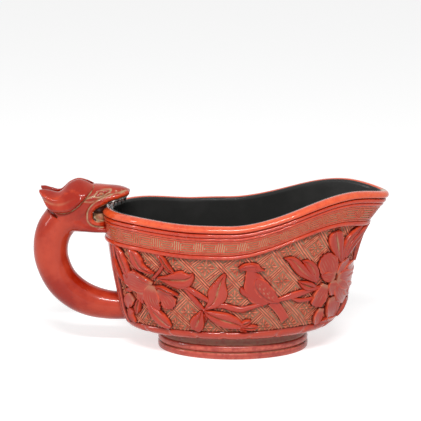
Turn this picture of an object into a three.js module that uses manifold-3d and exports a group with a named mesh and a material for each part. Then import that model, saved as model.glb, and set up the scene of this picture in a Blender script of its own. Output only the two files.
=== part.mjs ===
// A pouring vessel of carved cinnabar lacquer: an oval bowl with a raised spout, moulded bands under
// its lip, an oval foot, and a loop handle that ends in a dragon's head biting the rim.
// Millimetres, +Z up, +X towards the spout. While the shapes are worked out, the foot's centre is at
// x = 0; the whole group is then set so that its origin lies under the middle of the object's box.

import * as THREE from "three";
import { mergeVertices } from "three/addons/utils/BufferGeometryUtils.js";
import Module from "manifold-3d";

const wasm = await Module();
wasm.setup();

// Fit between pieces that touch on the real object
const seat = 0.3;

// Rim of the wall, measured on its outer face at the top. Places along it go from -1 at the handle
// end to 1 at the spout's tip.
const rimLength = 141.3;
const rimMiddle = 6.3;
const rimHalfWidth = 38.4;
const waistDraw = 10;
const waistAlong = [-0.67, 0.2];
const spoutDraw = 9.8;
const spoutAlong = [0.4, 1.1];
const rimHeight = 70.5;
const spoutRise = 13.3;
const spoutRiseAlong = [-0.12, 0.765];
const tipDip = 5;
const tipDipAlong = [0.75, 1.25];
const handleEndRise = 2.5;
const handleEndAlong = [0.35, 0.85];

// Belly of the wall. Its corner above the foot is rounder at the spout than at the handle.
const bellyLength = 120.9;
const bellyMiddle = 0.1;
const bellyWidth = 65;
const bellyShare = 0.566;
const spoutRoundness = 3;
const handleRoundness = 5.5;
const flareShare = 0.276;
const flareReach = 0.72;
const spoutFlarePower = 2.13;
const handleFlarePower = 0.75;

// Layers of the wall, from the outside in
const coatThickness = 1.2;
const coreThickness = 1.4;
const liningThickness = 0.8;

// Moulded bands under the rim: heights down the wall and how far each stands out
const lipHeight = 2.5;
const lipProud = 1.5;
const lipRollDepth = 0.9;
const lipCrownInset = 2.2;
const lipCrownRise = 0.1;
const lipInnerDrop = 0.7;
const beadHeight = 3.4;
const beadProud = 1.2;
const beadRollDepth = 0.6;
const beadRollShare = 0.48;
const fretHeight = 8.0;
const fretProud = 0.6;
const filletHeight = 1.75;
const filletProud = 1.4;
const filletRollDepth = 0.7;
const rollFullness = 0.7;

// Border round the bottom of the wall, as shares of the wall's height
const borderShare = 0.07;
const borderGapShare = 0.005;
const borderEdgeShare = 0.012;
const borderShoulderShare = 0.03;
const borderProud = 0.9;
const borderEdgeProud = 0.27;

// Double ridge that frames the carving on each side of the handle
const stripWidth = 4.6;
const stripProud = 1.0;
const stripGroove = 0.5;
const stripMiddle = 10.4;
const stripEdgeDrop = 0.2;
const stripGapShare = 0.02;

// Foot
const footLength = 76.6;
const footWidth = 52;
const footHeight = 12.7;
const footThickness = 6;
const footBandHeight = 3.2;
const footEdgeRound = [0.5, 0.6];
const footGrooveHeight = 0.35;
const footRollHeight = 3.6;
const footRollProud = 0.9;
const footWaistInset = 0.9;
const footWaistHollow = 0.7;
const panelThickness = 1.8;

// The handle springs from the belly's handle end at the foot's height, and the head bites the rim's
// handle end. All places of the handle and the head are given from these two, as [x, z] or [x, y, z].
const root = [bellyMiddle - bellyLength / 2, footHeight];
const bite = [rimMiddle - rimLength / 2, rimHeight + handleEndRise];

// Handle: centre line in the plane y = 0, given from a place that passes from the root to the bite,
// and half thickness in that plane and across it
const handlePass = [0.05, 0.9];
const handleOffsets = [
  [8.35, 8.1], [-2.56, 7.17], [-11.69, 2.26], [-19.04, -4.71], [-25.07, -10.71], [-28.34, -13.65],
  [-28.28, -15.23], [-26.06, -12.45], [-21.85, -6.2],
];
const handleHalfRise = [7.1, 7.4, 8.0, 8.3, 8.4, 8.6, 8.8, 9.0, 9.0];
const handleHalfWidth = [6.8, 7.0, 7.4, 7.7, 7.9, 8.0, 8.0, 8.2, 8.4];
const handleCoat = 2.2;
const boreEndShare = 0.96;
const boreEndRun = 2;
const tenonRadius = 3.0;
const tenonRun = 11;
const tenonInside = 12;
const tenonRise = 0.2;
const plugInset = 1.5;
const plugInside = 3;
const socketDepth = 8;

// Dragon's head: the skull with the upper jaw, then the throat with the lower jaw
const skullOffsets = [
  [-21.65, -5.9], [-17.45, -1.4], [-11.95, 2.2], [-5.15, 4.9], [1.85, 6.3], [7.35, 7], [11.75, 7.2],
];
const skullHalfRise = [9.0, 9.8, 9.0, 6.7, 4.7, 3.4, 1.7];
const skullHalfWidth = [8.4, 9.2, 9.6, 9.0, 7.0, 6.0, 3.6];
const throatOffsets = [[-21.15, -7.5], [-16.15, -7.4], [-11.15, -9.4], [-5.65, -11.1], [1.35, -11.6]];
const throatHalfRise = [8.0, 6.4, 4.0, 2.4, 2.0];
const throatHalfWidth = [8.0, 8.2, 7.8, 7.0, 6.2];
const neckPegRadius = 1.8;
const neckPegOffset = [-0.65, 0, -11.5];
const neckPegLength = 24;

// Roof of the mouth, an egg that closes the gap between the jaws
const palateHalf = [5, 4.5, 3.4];
const palateOffset = [-3.65, 0, 0.3];

// Ear: stations from its root behind the eye to its tip, each [x, top, bottom]. It folds over the
// skull, so its upper edge lies nearer to the middle than its lower edge.
const earOffsets = [
  [-5.85, 12.2, 10.2], [-9.15, 13.8, 6.2], [-13.45, 14.7, 1.9], [-17.85, 13, -1], [-22.65, 8.6, -1.4],
  [-27.15, 8.8, -0.6], [-30.25, 9.5, 3.5], [-32.65, 9.4, 8.2],
];
const earThickness = [1.4, 4.2, 5.4, 5.6, 5.2, 4.4, 3.2, 1.2];
const earTopY = [2.4, 1.9, 1.9, 2.2, 3.4, 3.6, 4.3, 4.6];
const earBottomY = [5.2, 9.2, 9.8, 9.8, 9.4, 8.6, 6.6, 5];
const earBulge = [0.4, 1.4, 1.8, 1.8, 1.6, 1.2, 0.8, 0.2];

// Eyes, and teeth set in a gum that runs round each jaw from side to side
const eyeRadius = 1.9;
const eyeStretch = [1.25, 1, 0.8];
const eyeOffset = [-1.95, 7, 7];
const gumRadius = 0.7;
const toothRadius = 0.7;
const toothTipRadius = 0.12;
const toothMargin = 0.03;
const upperGum = [[2.35, 5.2, 2.9], [5.95, 4.6, 3.9], [8.95, 3.2, 4.7], [10.15, 0, 4.9]];
const upperToothLength = 2.7;
const lowerGum = [[-3.25, 5.2, -8.3], [-5.85, 4.8, -7.7], [-7.65, 3.2, -6.5], [-8.35, 0, -6]];
const lowerToothLength = 1.9;
const teethEachSide = 5;

// Fineness of the faceted surfaces
const aroundSteps = 48;
const wallSteps = 5;
const tubeSides = 14;
const handleSteps = 16;
const skullSteps = 10;
const throatSteps = 6;
const stripSteps = 6;
const gumSides = 5;
const gumSteps = 6;
const toothSides = 4;
const eyeSteps = [10, 6];
const palateSteps = [8, 6];
const rowCrowding = 1.3;

// Small tools
const fromBite = (offset) => new THREE.Vector3(bite[0] + offset[0], offset[1], bite[1] + offset[2]);

const inPlane = ([x, z]) => fromBite([x, 0, z]);

const ease = (from, to, value) => {
  const t = Math.min(1, Math.max(0, (value - from) / (to - from)));
  return t * t * (3 - 2 * t);
};

const steps = (count) => Array.from({ length: count + 1 }, (_, i) => i / count);

const turns = Array.from({ length: aroundSteps }, (_, i) => (2 * Math.PI * i) / aroundSteps);

// One closed body from rows of points that all go round the same way. The rows close on themselves
// as a ring, or each end is closed by a fan to the middle of its row. Each quad is cut along its
// shorter diagonal, so that two layers laid over each other are faceted alike.
function loft(rows, closesOnItself) {
  const around = rows[0].length;
  const points = rows.flat();
  const positions = points.flatMap((p) => [p.x, p.y, p.z]);
  const faces = [];
  const quad = (a, b, c, d) => {
    const straight = points[a].distanceTo(points[c]) < points[b].distanceTo(points[d]);
    faces.push(...(straight ? [a, b, c, a, c, d] : [b, c, d, b, d, a]));
  };
  const rowCount = closesOnItself ? rows.length : rows.length - 1;
  for (let r = 0; r < rowCount; r++) {
    const next = (r + 1) % rows.length;
    for (let i = 0; i < around; i++) {
      const j = (i + 1) % around;
      quad(r * around + i, r * around + j, next * around + j, next * around + i);
    }
  }
  if (!closesOnItself) {
    for (const [row, flip] of [[0, true], [rows.length - 1, false]]) {
      const middle = new THREE.Vector3();
      rows[row].forEach((p) => middle.addScaledVector(p, 1 / around));
      const hub = positions.length / 3;
      positions.push(middle.x, middle.y, middle.z);
      for (let i = 0; i < around; i++) {
        const a = row * around + i;
        const b = row * around + ((i + 1) % around);
        if (flip) faces.push(hub, b, a);
        else faces.push(hub, a, b);
      }
    }
  }
  return outwardGeometry(positions, faces);
}

function outwardGeometry(positions, faces) {
  let volume = 0;
  const corner = (k) => new THREE.Vector3().fromArray(positions, 3 * faces[k]);
  for (let k = 0; k < faces.length; k += 3) {
    volume += corner(k).dot(corner(k + 1).cross(corner(k + 2)));
  }
  if (volume < 0) {
    for (let k = 0; k < faces.length; k += 3) {
      [faces[k + 1], faces[k + 2]] = [faces[k + 2], faces[k + 1]];
    }
  }
  const geometry = new THREE.BufferGeometry();
  geometry.setAttribute("position", new THREE.Float32BufferAttribute(positions, 3));
  geometry.setIndex(faces);
  return geometry;
}

function toSolid(geometry) {
  const bare = geometry.clone();
  bare.deleteAttribute("normal");
  bare.deleteAttribute("uv");
  const merged = mergeVertices(bare, 1e-5);
  return new wasm.Manifold(new wasm.Mesh({
    numProp: 3,
    vertProperties: new Float32Array(merged.attributes.position.array),
    triVerts: new Uint32Array(merged.index.array),
  }));
}

function toGeometry(solid) {
  const mesh = solid.getMesh();
  const geometry = new THREE.BufferGeometry();
  geometry.setAttribute("position", new THREE.BufferAttribute(new Float32Array(mesh.vertProperties), 3));
  geometry.setIndex(new THREE.BufferAttribute(new Uint32Array(mesh.triVerts), 1));
  return geometry;
}

const cutFrom = (geometry, ...cutters) =>
  toGeometry(cutters.reduce((solid, cutter) => solid.subtract(toSolid(cutter)), toSolid(geometry)));

const joined = (...geometries) => toGeometry(geometries.map(toSolid).reduce((a, b) => a.add(b)));

// The wall as a surface: turn is the angle round the bowl, 0 at the spout and pi at the handle, and
// share is the height from the foot joint, 0, to the top of the lip, 1.
const jointHeight = footHeight - coatThickness;
const jointHalf = [footLength / 2 - footWaistInset + seat, footWidth / 2 - footWaistInset + seat];

const rimTop = (along) => rimHeight
  + spoutRise * ease(...spoutRiseAlong, along)
  - tipDip * ease(...tipDipAlong, along)
  + handleEndRise * ease(...handleEndAlong, -along);

const rimReach = (along) => rimHalfWidth
  - waistDraw * ease(...waistAlong, along)
  - spoutDraw * ease(...spoutAlong, along);

const flareAt = (share, power) => ease(0, 1, Math.max(0, (share - flareShare) / flareReach) ** power);

function wallFace(turn, share) {
  const along = Math.cos(turn);
  const across = Math.sin(turn);
  const spoutward = (1 + along) / 2;
  const roundness = THREE.MathUtils.lerp(handleRoundness, spoutRoundness, spoutward);
  const power = THREE.MathUtils.lerp(handleFlarePower, spoutFlarePower, spoutward);
  const rise = Math.min(1, share / bellyShare);
  const swell = (1 - (1 - rise) ** 2) ** (1 / roundness);
  const flare = flareAt(share, power) / flareAt(1, power);
  const reach = (base, belly, rim) => base + (belly - base) * swell + (rim - belly) * flare;
  return new THREE.Vector3(
    reach(jointHalf[0] * along, bellyMiddle + (bellyLength / 2) * along, rimMiddle + (rimLength / 2) * along),
    reach(jointHalf[1] * across, (bellyWidth / 2) * across, rimReach(along) * across),
    jointHeight + share * (rimTop(along) - jointHeight),
  );
}

function wallNormal(turn, share) {
  const turnStep = 0.01;
  const shareStep = 0.002;
  const low = Math.max(share, shareStep);
  const aroundWay = wallFace(turn + turnStep, low).sub(wallFace(turn - turnStep, low));
  const upWay = wallFace(turn, low + shareStep).sub(wallFace(turn, low - shareStep));
  return aroundWay.cross(upWay).normalize();
}

const wallPoint = (turn, share, out) =>
  wallFace(turn, share).addScaledVector(wallNormal(turn, share), out);

const shareAtDrop = (turn, drop) => 1 - drop / (rimTop(Math.cos(turn)) - jointHeight);

// Heights down the wall where one band ends and the next begins
const beadDrop = lipHeight + seat;
const fretDrop = beadDrop + beadHeight + seat;
const filletDrop = fretDrop + fretHeight + seat;
const fieldDrop = filletDrop + filletHeight + seat;
const coreOuter = coatThickness + seat;
const coreInner = coreOuter + coreThickness;
const liningOuter = coreInner + seat;
const wallThickness = liningOuter + liningThickness;

// A row of the wall for each height that all layers share, as functions of the turn
const borderRows = [0, borderEdgeShare];
const fieldBottomShare = borderShare + borderGapShare;
const fieldRow = (k) => (turn) => fieldBottomShare
  + (shareAtDrop(turn, fieldDrop) - fieldBottomShare) * (k / wallSteps) ** rowCrowding;
const fieldRows = Array.from({ length: wallSteps + 1 }, (_, k) => fieldRow(k));
const bottomRows = borderRows.map((share) => () => share);
const bandRows = [filletDrop - seat / 2, beadDrop].map((drop) => (turn) => shareAtDrop(turn, drop));
const shellRows = [...bottomRows, ...fieldRows, ...bandRows];

const wallRow = (shareOf, out) => turns.map((turn) => wallPoint(turn, shareOf(turn), out));

// A closed ring of the wall between two depths, over the rows given
const wallBand = (rows, inner, outer) => loft(
  [...rows.map((row) => wallRow(row, -inner)), ...rows.map((row) => wallRow(row, outer)).reverse()],
  true,
);

// A cup: the wall's shell with its floor closed
const wallCup = (inner, outer) => {
  const inside = shellRows.map((row) => wallRow(row, -inner));
  const outside = shellRows.map((row) => wallRow(row, -outer));
  return loft([...inside, ...outside.reverse()], false);
};

// A moulding that follows the rim: its section is points [drop, out] in order round it
const rimMoulding = (section) => loft(
  section.map(([drop, out]) => wallRow((turn) => shareAtDrop(turn, drop), out)),
  true,
);

// The solid block that the wall encloses, grown by out, to cut what butts the wall
const wallBlock = (out) => loft(
  [...shellRows.slice(1), (turn) => shareAtDrop(turn, 0)].map((row) => wallRow(row, out)),
  false,
);

// Round the crown of a moulding: from its lower outer corner to its upper one
const roll = (topDrop, height, proud, depth, count) => steps(count).map((t) => {
  const angle = Math.PI * t;
  return [
    topDrop + (height / 2) * (1 + Math.cos(angle)),
    proud - depth + depth * Math.sin(angle) ** rollFullness,
  ];
});

const lipSection = [
  [lipHeight, -wallThickness],
  ...roll(0, lipHeight, lipProud, lipRollDepth, 4),
  [-lipCrownRise, lipProud - lipCrownInset],
  [lipInnerDrop, -wallThickness],
];
const beadRoll = beadHeight * beadRollShare;
const beadSection = [
  [beadDrop + beadHeight, -coatThickness],
  ...roll(beadDrop + beadHeight - beadRoll, beadRoll, beadProud, beadRollDepth, 2),
  ...roll(beadDrop, beadRoll, beadProud, beadRollDepth, 2),
  [beadDrop, -coatThickness],
];
const fretSection = [
  [fretDrop + fretHeight, -coatThickness],
  [fretDrop + fretHeight, fretProud],
  [fretDrop, fretProud],
  [fretDrop, -coatThickness],
];
const filletSection = [
  [filletDrop + filletHeight, -coatThickness],
  ...roll(filletDrop, filletHeight, filletProud, filletRollDepth, 2),
  [filletDrop, -coatThickness],
];
// What the head's bite leaves free round the bands
const rimClearance = [
  [fieldDrop, -coatThickness],
  [fieldDrop, filletProud + seat],
  [filletDrop, filletProud + seat],
  [fretDrop + fretHeight, fretProud + seat],
  [fretDrop, fretProud + seat],
  [beadDrop + beadHeight, beadProud + seat],
  [beadDrop, lipProud + seat],
  [lipHeight / 4, lipProud + seat],
  [-lipCrownRise, lipProud - lipRollDepth + seat],
  [-lipCrownRise - seat, lipProud - lipCrownInset],
  [-lipCrownRise - seat, -wallThickness - seat],
  [lipHeight, -wallThickness - seat],
];

// Wall pieces
const peg = (radius, length, { x, y, z }) =>
  new THREE.CylinderGeometry(radius, radius, length, tubeSides).rotateZ(Math.PI / 2).translate(x, y, z);

const handleRoute = handleOffsets.map(([x, z], k) => {
  const passed = ease(...handlePass, k / (handleOffsets.length - 1));
  return new THREE.Vector3(
    THREE.MathUtils.lerp(root[0], bite[0], passed) + x,
    0,
    THREE.MathUtils.lerp(root[1], bite[1], passed) + z,
  );
});
const tenonLength = tenonRun + tenonInside;
const tenonPlace = handleRoute[0].clone().add(new THREE.Vector3(-tenonRun / 2, 0, tenonRise));
const neckPegPlace = fromBite(neckPegOffset);
const lowerMortise = peg(tenonRadius + seat, tenonLength, tenonPlace);
const upperMortise = peg(neckPegRadius + seat, neckPegLength, neckPegPlace);

const woodCore = () => cutFrom(wallCup(coreInner, coreOuter), lowerMortise, upperMortise);
const interiorLacquer = () => wallCup(wallThickness, liningOuter);
const carvedWall = () => cutFrom(wallBand(fieldRows, coatThickness, 0), lowerMortise);
const fretBand = () => cutFrom(rimMoulding(fretSection), upperMortise);

function borderRing(proud, topShare) {
  const row = (share, out) => wallRow(() => share, out);
  return loft([
    ...borderRows.map((share) => row(share, -coatThickness)),
    row(topShare, -coatThickness),
    row(topShare, proud),
    row(borderShoulderShare, proud),
    row(borderEdgeShare, borderEdgeProud),
    row(0, 0),
  ], true);
}

// The ridges keep their distance from the handle's plane all the way down
function frameStrip(side) {
  const topShare = shareAtDrop(Math.PI, fieldDrop + seat);
  const bottomShare = fieldBottomShare + stripGapShare;
  const half = stripWidth / 2;
  const crown = half / 2;
  const edge = stripProud - stripEdgeDrop;
  const section = [
    [-half, seat], [half, seat], [half, edge], [crown, stripProud], [0, stripGroove],
    [-crown, stripProud], [-half, edge],
  ];
  const rows = steps(stripSteps).map((t) => {
    const share = bottomShare + (topShare - bottomShare) * t ** rowCrowding;
    return section.map(([off, out]) => wallPoint(side * turnAcross(stripMiddle + off, share), share, out));
  });
  return loft(rows, false);
}

// The turn at which the wall is so far from the handle's plane, on the handle's side of the bowl
function turnAcross(distance, share) {
  const closingSteps = 12;
  let turn = Math.PI - distance / (bellyWidth / 2);
  for (let i = 0; i < closingSteps; i++) turn += (wallFace(turn, share).y - distance) / (bellyWidth / 2);
  return turn;
}

// Foot
const footOval = (inset, z) => turns.map((turn) => {
  const half = [footLength / 2, footWidth / 2];
  const place = new THREE.Vector2(half[0] * Math.cos(turn), half[1] * Math.sin(turn));
  const normal = new THREE.Vector2(half[1] * Math.cos(turn), half[0] * Math.sin(turn)).normalize();
  place.addScaledVector(normal, -inset);
  return new THREE.Vector3(place.x, place.y, z);
});

function footRing() {
  const rollBottom = footBandHeight + footGrooveHeight;
  const rollTop = rollBottom + footRollHeight;
  const rollPoints = steps(3).map((t) => [
    footRollProud * (1 - Math.sin(Math.PI * t)),
    rollBottom + footRollHeight * t,
  ]);
  const waistHeight = footHeight - rollTop;
  const waistPoints = steps(2).slice(1).map((t) => [
    footWaistInset + footWaistHollow * Math.sin(Math.PI * t),
    rollTop + waistHeight * t,
  ]);
  const section = [
    [footThickness, 0], [footEdgeRound[0], 0], [0, footEdgeRound[1]], [0, footBandHeight],
    [footRollProud, footBandHeight + footGrooveHeight / 2],
    ...rollPoints, ...waistPoints, [footThickness, footHeight],
  ];
  return loft(section.map(([inset, z]) => footOval(inset, z)), true);
}

function basePanel() {
  const inset = footThickness + seat;
  return loft([
    footOval(inset, footHeight - panelThickness),
    footOval(inset, footHeight),
  ], false);
}

// Handle and head: ovals swept along a route in the plane y = 0
function sweptOval(route, halfRise, halfWidth, { shrink = 0, from = 0, count = handleSteps }) {
  const curve = new THREE.CatmullRomCurve3(route, false, "centripetal");
  const sizeAt = (sizes, t) => {
    const place = t * (sizes.length - 1);
    const index = Math.min(sizes.length - 2, Math.floor(place));
    const part = place - index;
    return THREE.MathUtils.lerp(sizes[index], sizes[index + 1], (ease(0, 1, part) + part) / 2);
  };
  const rows = steps(count).map((step) => {
    const t = from + (1 - from) * step;
    const centre = curve.getPoint(t);
    const way = curve.getTangent(t);
    const up = new THREE.Vector3(-way.z, 0, way.x);
    return Array.from({ length: tubeSides }, (_, i) => {
      const angle = (2 * Math.PI * i) / tubeSides;
      return centre.clone()
        .addScaledVector(up, (sizeAt(halfRise, t) - shrink) * Math.sin(angle))
        .add(new THREE.Vector3(0, (sizeAt(halfWidth, t) - shrink) * Math.cos(angle), 0));
    });
  });
  return loft(rows, false);
}

const handleShape = (options) => sweptOval(handleRoute, handleHalfRise, handleHalfWidth, options);

// What butts the wall is trimmed by the wall and its border, both grown by the seat
const wallTrim = () => [wallBlock(seat), borderRing(borderProud + seat, fieldBottomShare)];

// Where the handle meets the head, and which way it runs there
const [beforeHead, headEnd] = handleRoute.slice(-2);
const headWay = headEnd.clone().sub(beforeHead).normalize();

function handleLoop() {
  const bore = handleShape({ shrink: handleCoat });
  const opened = handleShape({ shrink: handleCoat, from: boreEndShare, count: 1 })
    .translate(headWay.x * boreEndRun, 0, headWay.z * boreEndRun);
  return cutFrom(handleShape({}), bore, opened, ...wallTrim());
}

// The wooden core of the handle, with a tenon into the bowl and a plug into the head
const plugRadius = handleHalfWidth.at(-1) - handleCoat - plugInset;

function handleCore() {
  const tenon = peg(tenonRadius, tenonLength, tenonPlace);
  const body = cutFrom(handleShape({ shrink: handleCoat + seat }), ...wallTrim());
  const plug = plugAlong(plugRadius, socketDepth);
  return joined(body, cutFrom(tenon, wallBlock(-coreInner)), plug);
}

// A round plug that starts inside the handle's upper end and runs on past it
function plugAlong(radius, length) {
  const geometry = new THREE.CylinderGeometry(radius, radius, length + plugInside, tubeSides);
  geometry.translate(0, (length - plugInside) / 2, 0);
  return alongHeadWay(geometry);
}

function alongHeadWay(geometry) {
  const turned = new THREE.Quaternion().setFromUnitVectors(new THREE.Vector3(0, 1, 0), headWay);
  return geometry.applyQuaternion(turned).translate(headEnd.x, 0, headEnd.z);
}

const skullRoute = skullOffsets.map(inPlane);
const throatRoute = throatOffsets.map(inPlane);
const skullShape = (shrink) =>
  sweptOval(skullRoute, skullHalfRise, skullHalfWidth, { shrink, count: skullSteps });
const throatShape = (shrink) =>
  sweptOval(throatRoute, throatHalfRise, throatHalfWidth, { shrink, count: throatSteps });

function palate() {
  const { x, y, z } = fromBite(palateOffset);
  return new THREE.SphereGeometry(1, ...palateSteps).scale(...palateHalf).translate(x, y, z);
}

function dragonHead() {
  const neckPeg = peg(neckPegRadius, neckPegLength, neckPegPlace);
  const trimSize = 40;
  const handleSide = alongHeadWay(
    new THREE.BoxGeometry(trimSize, trimSize, trimSize).translate(0, seat - trimSize / 2, 0),
  );
  const outside = cutFrom(
    joined(skullShape(0), throatShape(0), palate()),
    rimMoulding(rimClearance), ...wallTrim(), handleSide,
  );
  const pegged = joined(outside, cutFrom(neckPeg, wallBlock(-coreInner)));
  return cutFrom(pegged, plugAlong(plugRadius + seat, socketDepth + seat));
}

// Ears lie back along the skull and the neck, and are trimmed to both
function ear(side) {
  const rows = earOffsets.map(([x, top, bottom], k) => Array.from({ length: tubeSides }, (_, i) => {
    const angle = (2 * Math.PI * i) / tubeSides;
    const height = (1 + Math.sin(angle)) / 2;
    const middle = THREE.MathUtils.lerp(earBottomY[k], earTopY[k], height)
      + earBulge[k] * Math.cos(angle) ** 2;
    return fromBite([
      x,
      side * (middle + (earThickness[k] / 2) * Math.cos(angle)),
      THREE.MathUtils.lerp(bottom, top, height),
    ]);
  }));
  return cutFrom(loft(rows, false), skullShape(-seat), throatShape(-seat), handleShape({ shrink: -seat }));
}

function eye(side) {
  const ball = new THREE.SphereGeometry(eyeRadius, ...eyeSteps).scale(...eyeStretch);
  const { x, y, z } = fromBite(eyeOffset);
  ball.translate(x, side * y, z);
  return cutFrom(ball, skullShape(-seat));
}

// A row of teeth on a gum that passes round the jaw from one side to the other
function teeth(gum, toothLength, upward) {
  const half = gum.map(fromBite);
  const otherHalf = half.slice(0, -1).reverse().map((p) => new THREE.Vector3(p.x, -p.y, p.z));
  const curve = new THREE.CatmullRomCurve3([...half, ...otherHalf]);
  const gumRows = steps(gumSteps).map((t) => {
    const centre = curve.getPoint(t);
    const across = curve.getTangent(t).cross(new THREE.Vector3(0, 0, 1)).normalize();
    return Array.from({ length: gumSides }, (_, i) => {
      const angle = (2 * Math.PI * i) / gumSides;
      return centre.clone()
        .addScaledVector(across, gumRadius * Math.cos(angle))
        .add(new THREE.Vector3(0, 0, gumRadius * Math.sin(angle)));
    });
  });
  const toothAt = (t) => {
    const tooth = new THREE.CylinderGeometry(toothTipRadius, toothRadius, toothLength, toothSides);
    tooth.translate(0, toothLength / 2, 0).rotateX(upward ? Math.PI / 2 : -Math.PI / 2);
    const place = curve.getPoint(t);
    return tooth.translate(place.x, place.y, place.z);
  };
  const places = steps(2 * teethEachSide - 1)
    .map((t) => toothMargin + (1 - 2 * toothMargin) * t);
  return cutFrom(
    joined(loft(gumRows, false), ...places.map(toothAt)),
    skullShape(-seat), throatShape(-seat), rimMoulding(rimClearance),
  );
}

const group = new THREE.Group();

const finishes = {
  red: { color: 0xb84434, roughness: 0.38, metalness: 0 },
  brightRed: { color: 0xd04a30, roughness: 0.3, metalness: 0 },
  darkRed: { color: 0x8a3c34, roughness: 0.5, metalness: 0 },
  black: { color: 0x23211f, roughness: 0.3, metalness: 0 },
  wood: { color: 0x8a6a48, roughness: 0.7, metalness: 0 },
  silver: { color: 0x9a9a98, roughness: 0.35, metalness: 0.9 },
};

function addPiece(name, geometry, finish) {
  const mesh = new THREE.Mesh(geometry, new THREE.MeshStandardMaterial(finishes[finish]));
  mesh.name = name;
  group.add(mesh);
}

addPiece("wood_core", woodCore(), "wood");
addPiece("interior_lacquer", interiorLacquer(), "black");
addPiece("carved_wall", carvedWall(), "red");
addPiece("base_border", borderRing(borderProud, borderShare), "red");
addPiece("rim_lip", rimMoulding(lipSection), "brightRed");
addPiece("rim_bead", rimMoulding(beadSection), "brightRed");
addPiece("fret_band", fretBand(), "red");
addPiece("band_fillet", rimMoulding(filletSection), "brightRed");
addPiece("frame_strip_near", frameStrip(-1), "red");
addPiece("frame_strip_far", frameStrip(1), "red");
addPiece("foot_ring", footRing(), "darkRed");
addPiece("base_panel", basePanel(), "black");
addPiece("handle_loop", handleLoop(), "red");
addPiece("handle_core", handleCore(), "wood");
addPiece("dragon_head", dragonHead(), "red");
addPiece("ear_near", ear(-1), "red");
addPiece("ear_far", ear(1), "red");
addPiece("eye_near", eye(-1), "brightRed");
addPiece("eye_far", eye(1), "brightRed");
addPiece("upper_teeth", teeth(upperGum, upperToothLength, false), "silver");
addPiece("lower_teeth", teeth(lowerGum, lowerToothLength, true), "silver");

// The origin lies under the middle of the whole object's box
const box = new THREE.Box3().setFromObject(group);
group.position.x = -(box.min.x + box.max.x) / 2;

export default group;
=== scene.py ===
"""Looks of a carved cinnabar lacquer ewer: an oval bowl with a raised spout on a moulded foot, with a
loop handle that ends in a dragon's head biting the rim."""

import math

import bpy
import numpy as np
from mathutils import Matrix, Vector


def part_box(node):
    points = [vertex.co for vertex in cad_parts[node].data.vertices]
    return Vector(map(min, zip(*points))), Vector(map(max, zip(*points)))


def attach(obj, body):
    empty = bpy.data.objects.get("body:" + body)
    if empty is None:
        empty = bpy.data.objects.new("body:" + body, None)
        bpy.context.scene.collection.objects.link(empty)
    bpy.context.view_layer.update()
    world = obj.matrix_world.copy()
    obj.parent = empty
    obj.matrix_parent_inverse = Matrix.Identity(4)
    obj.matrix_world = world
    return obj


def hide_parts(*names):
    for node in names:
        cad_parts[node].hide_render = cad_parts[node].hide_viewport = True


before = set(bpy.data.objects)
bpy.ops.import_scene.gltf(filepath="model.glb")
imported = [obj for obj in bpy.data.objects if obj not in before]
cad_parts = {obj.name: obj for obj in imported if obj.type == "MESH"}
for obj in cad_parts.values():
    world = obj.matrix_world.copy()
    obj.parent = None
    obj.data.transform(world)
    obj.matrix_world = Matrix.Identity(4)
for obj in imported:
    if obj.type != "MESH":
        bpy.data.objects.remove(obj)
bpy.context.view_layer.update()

bl_info = {
    "name": "Carved Lacquer Ewer",
    "version": (1, 0, 0),
    "blender": (4, 5, 0),
    "location": "3D View > Sidebar > Ewer",
    "description": "Builds the carved lacquer, the mouldings and the dragon's head of a pouring ewer",
    "category": "Add Mesh",
}

BODY = "root"
MM = 0.001
SIDES = ((-1, "near"), (1, "far"))

# The ewer is drawn in millimetres with the middle of the foot at x = 0
FOOT_MIDDLE = (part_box("foot_ring")[0][0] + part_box("foot_ring")[1][0]) / 2

# Foot, and the joint where the wall stands on it
FOOT_HALF = (38.3, 26.0)
FOOT_HEIGHT = 12.7
WAIST_INSET = 0.9
COAT = 1.2
SEAT = 0.3
JOINT_HEIGHT = FOOT_HEIGHT - COAT
JOINT_HALF = (FOOT_HALF[0] - WAIST_INSET + SEAT, FOOT_HALF[1] - WAIST_INSET + SEAT)

# Rim: how it rises and draws in along the bowl, from -1 at the handle to 1 at the spout's tip
RIM_MIDDLE = 6.3
RIM_HALF = (70.65, 38.4)
RIM_HEIGHT = 70.15
SPOUT_RISE = 13.3
TIP_DIP = 5
HANDLE_END_RISE = 2.5
RIM_SAG = 0.45
HANDLE_END_DRAW = 3.8
BELLY_DRAW = 0.7
SPOUT_DRAW = 14.4
SPOUT_DRAW_FROM = -0.3
SPOUT_DRAW_POWER = 2.45

# Belly, how the wall rounds into it from the foot, and how it flares above it
BELLY_MIDDLE = 0.1
BELLY_HALF = (60.45, 32.5)
BELLY_SHARE = 0.566
HANDLE_ROUNDNESS = 5.5
SPOUT_ROUNDNESS = 3.0
FLARE_SHARE = 0.276
FLARE_REACH = 0.72
HANDLE_FLARE_POWER = 0.75
SPOUT_FLARE_POWER = 2.13

# Heights down the wall from the top of the lip
LIP_HEIGHT = 3.3
BEAD_DROP = 3.5
BEAD_HEIGHT = 3.65
FRET_DROP = 7.3
FRET_HEIGHT = 6.75
FILLET_DROP = 14.3
FILLET_HEIGHT = 2.2
FIELD_DROP = 16.85

# Shares of the wall's height, and places out from its face
FIELD_BOTTOM = 0.075
DRAWING_SHARE = 0.42
FLOOR_EDGE = 0.12
WALL_THICKNESS = 4.0
CORE_FACE = -1.45
GROUND_OUT = -0.9
DIAPER_TOP = -0.32
RELIEF_FOOT = -1.0

# Fineness of what goes round the wall
ROUND_STEPS = 420
SLOPE_STEP = 0.01
SHARE_STEP = 0.002


def ease(start, end, value):
    t = np.clip((value - start) / (end - start), 0, 1)
    return t * t * (3 - 2 * t)


def bump(value, middle, reach, power=2):
    """A hump, 1 at the middle, with a flatter top and steeper sides at a higher power."""
    return np.exp(-(np.abs((value - middle) / reach) ** power))


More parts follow.
